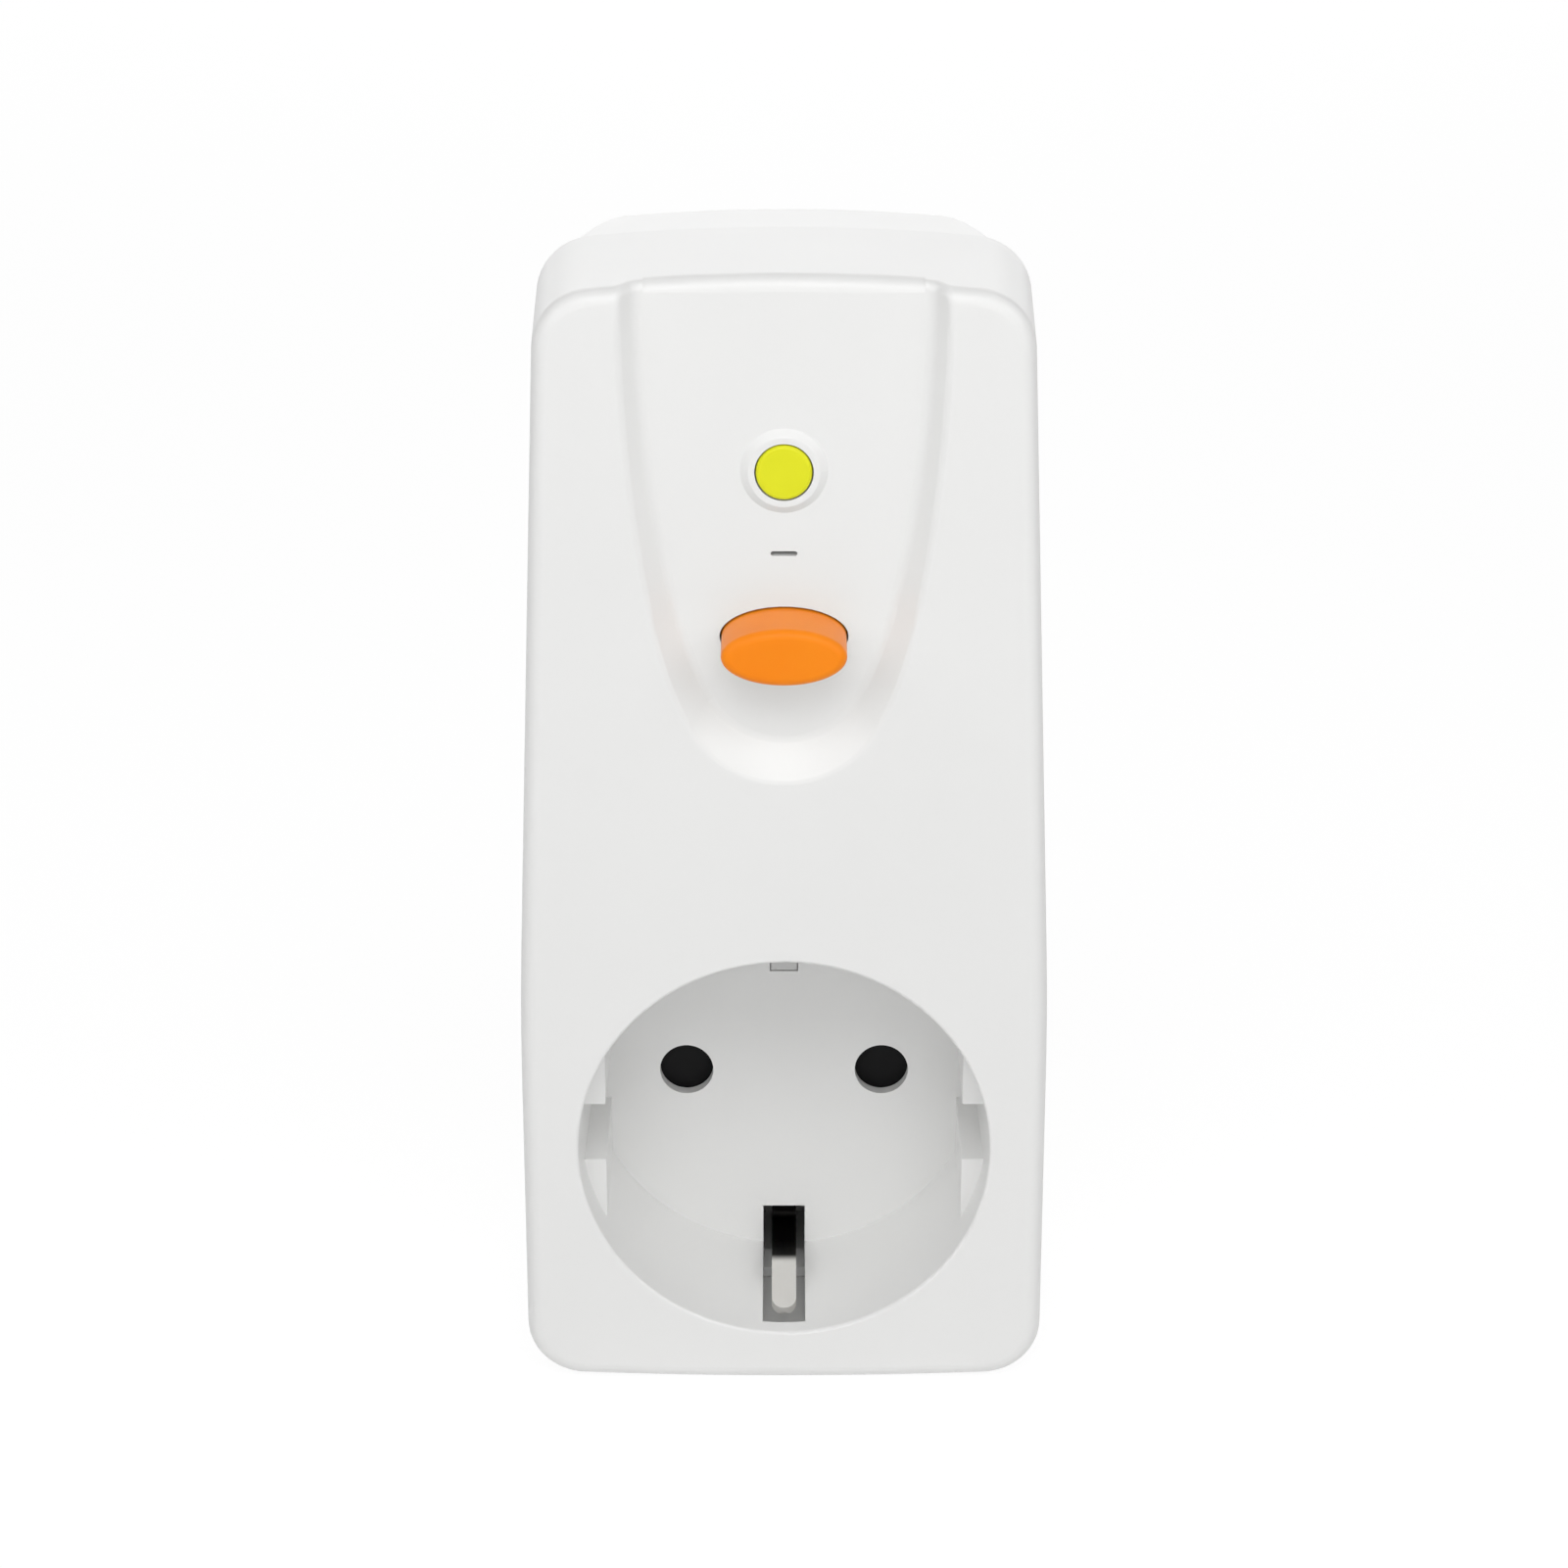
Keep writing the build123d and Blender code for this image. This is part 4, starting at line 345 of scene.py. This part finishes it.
def buildFloor():
    bpy.ops.mesh.primitive_plane_add(size=stageLook["floorSize"], location=(0, 0, stageLook["floorZ"]))
    floor = bpy.context.object
    floor.name = "floor"
    material, tree, surface, coords = newMaterial("paperSweep")
    output = [n for n in tree.nodes if n.type == "OUTPUT_MATERIAL"][0]
    fibre = addNode(tree, "ShaderNodeTexNoise", inputs={"Scale": perMetre(stageLook["fibreMm"]), "Detail": 3.0},
                    links={"Vector": coords})
    tone = addNode(tree, "ShaderNodeMix", {"data_type": "RGBA"},
                   {6: toLinear(stageLook["floorColour"]), 7: toLinear(stageLook["fibreColour"])},
                   {0: fibre.outputs["Fac"]})
    tree.links.new(tone.outputs[2], surface.inputs["Base Color"])
    surface.inputs["Roughness"].default_value = 0.9
    surface.inputs["Specular IOR Level"].default_value = 0.0
    # mostly a white glow where it is seen, and the rest is lit paper, which keeps the object's shadow
    glow = addNode(tree, "ShaderNodeEmission", inputs={"Color": (1, 1, 1, 1), "Strength": stageLook["floorGlow"]})
    share = addNode(tree, "ShaderNodeMath", {"operation": "MULTIPLY"}, {1: stageLook["glowShare"]},
                    {0: seenDirectly(tree).outputs[0]})
    blend = addNode(tree, "ShaderNodeMixShader",
                    links={0: share.outputs[0], 1: surface.outputs[0], 2: glow.outputs[0]})
    tree.links.new(blend.outputs[0], output.inputs["Surface"])
    floor.data.materials.append(material)


def buildWorld():
    world = bpy.data.worlds.new("whiteRoom")
    world.use_nodes = True
    tree = world.node_tree
    tree.nodes.clear()
    strength = addNode(tree, "ShaderNodeMapRange",
                       inputs={"To Min": stageLook["worldLight"], "To Max": stageLook["cameraWhite"]},
                       links={"Value": seenDirectly(tree).outputs[0]})
    back = addNode(tree, "ShaderNodeBackground", inputs={"Color": (1, 1, 1, 1)},
                   links={"Strength": strength.outputs[0]})
    addNode(tree, "ShaderNodeOutputWorld", links={"Surface": back.outputs[0]})
    bpy.context.scene.world = world


lamps = [
    {"name": "softboxHigh", "place": (0.0, -0.38, 0.42), "size": (0.4, 0.25), "watts": 0.92},
    {"name": "softboxLeft", "place": (-0.35, -0.30, 0.30), "size": (0.25, 0.35), "watts": 0.45},
    {"name": "softboxRight", "place": (0.35, -0.30, 0.30), "size": (0.25, 0.35), "watts": 0.50},
    {"name": "softboxFront", "place": (0.0, -0.95, 0.20), "size": (1.2, 0.6), "watts": 1.95},
    {"name": "softboxBehind", "place": (0.0, 0.75, 0.50), "size": (0.8, 0.5), "watts": 1.35},
    {"name": "softboxBack", "place": (0.0, 0.95, 0.10), "size": (1.2, 0.5), "watts": 1.3},
]


lampAim = (0, -0.015, 0.03)


def buildLamps():
    aim = Vector(lampAim)
    for lamp in lamps:
        bpy.ops.object.light_add(type="AREA", location=lamp["place"])
        light = bpy.context.object
        light.name = lamp["name"]
        light.data.shape = "RECTANGLE"
        light.data.size, light.data.size_y = lamp["size"]
        light.data.energy = lamp["watts"]
        light.rotation_euler = (aim - light.location).to_track_quat("-Z", "Y").to_euler()


# the photograph's camera, worked out from the socket's standard sizes
view = {"place": (0, -378.6 * mm, 173.6 * mm), "lookDown": 21.57, "lens": 94.44}


def buildCamera():
    data = bpy.data.cameras.new("photoCamera")
    camera = bpy.data.objects.new("photoCamera", data)
    bpy.context.scene.collection.objects.link(camera)
    data.sensor_width = 36.0
    data.lens = view["lens"]
    data.clip_start = 0.01
    turn = Matrix.Rotation(radians(90 - view["lookDown"]), 4, "X")
    camera.matrix_world = Matrix.Translation(view["place"]) @ turn
    bpy.context.scene.camera = camera


buildFloor()
buildWorld()
buildLamps()
buildCamera()
bpy.context.scene.view_settings.view_transform = "Standard"
print("stage, lamps and camera ready")
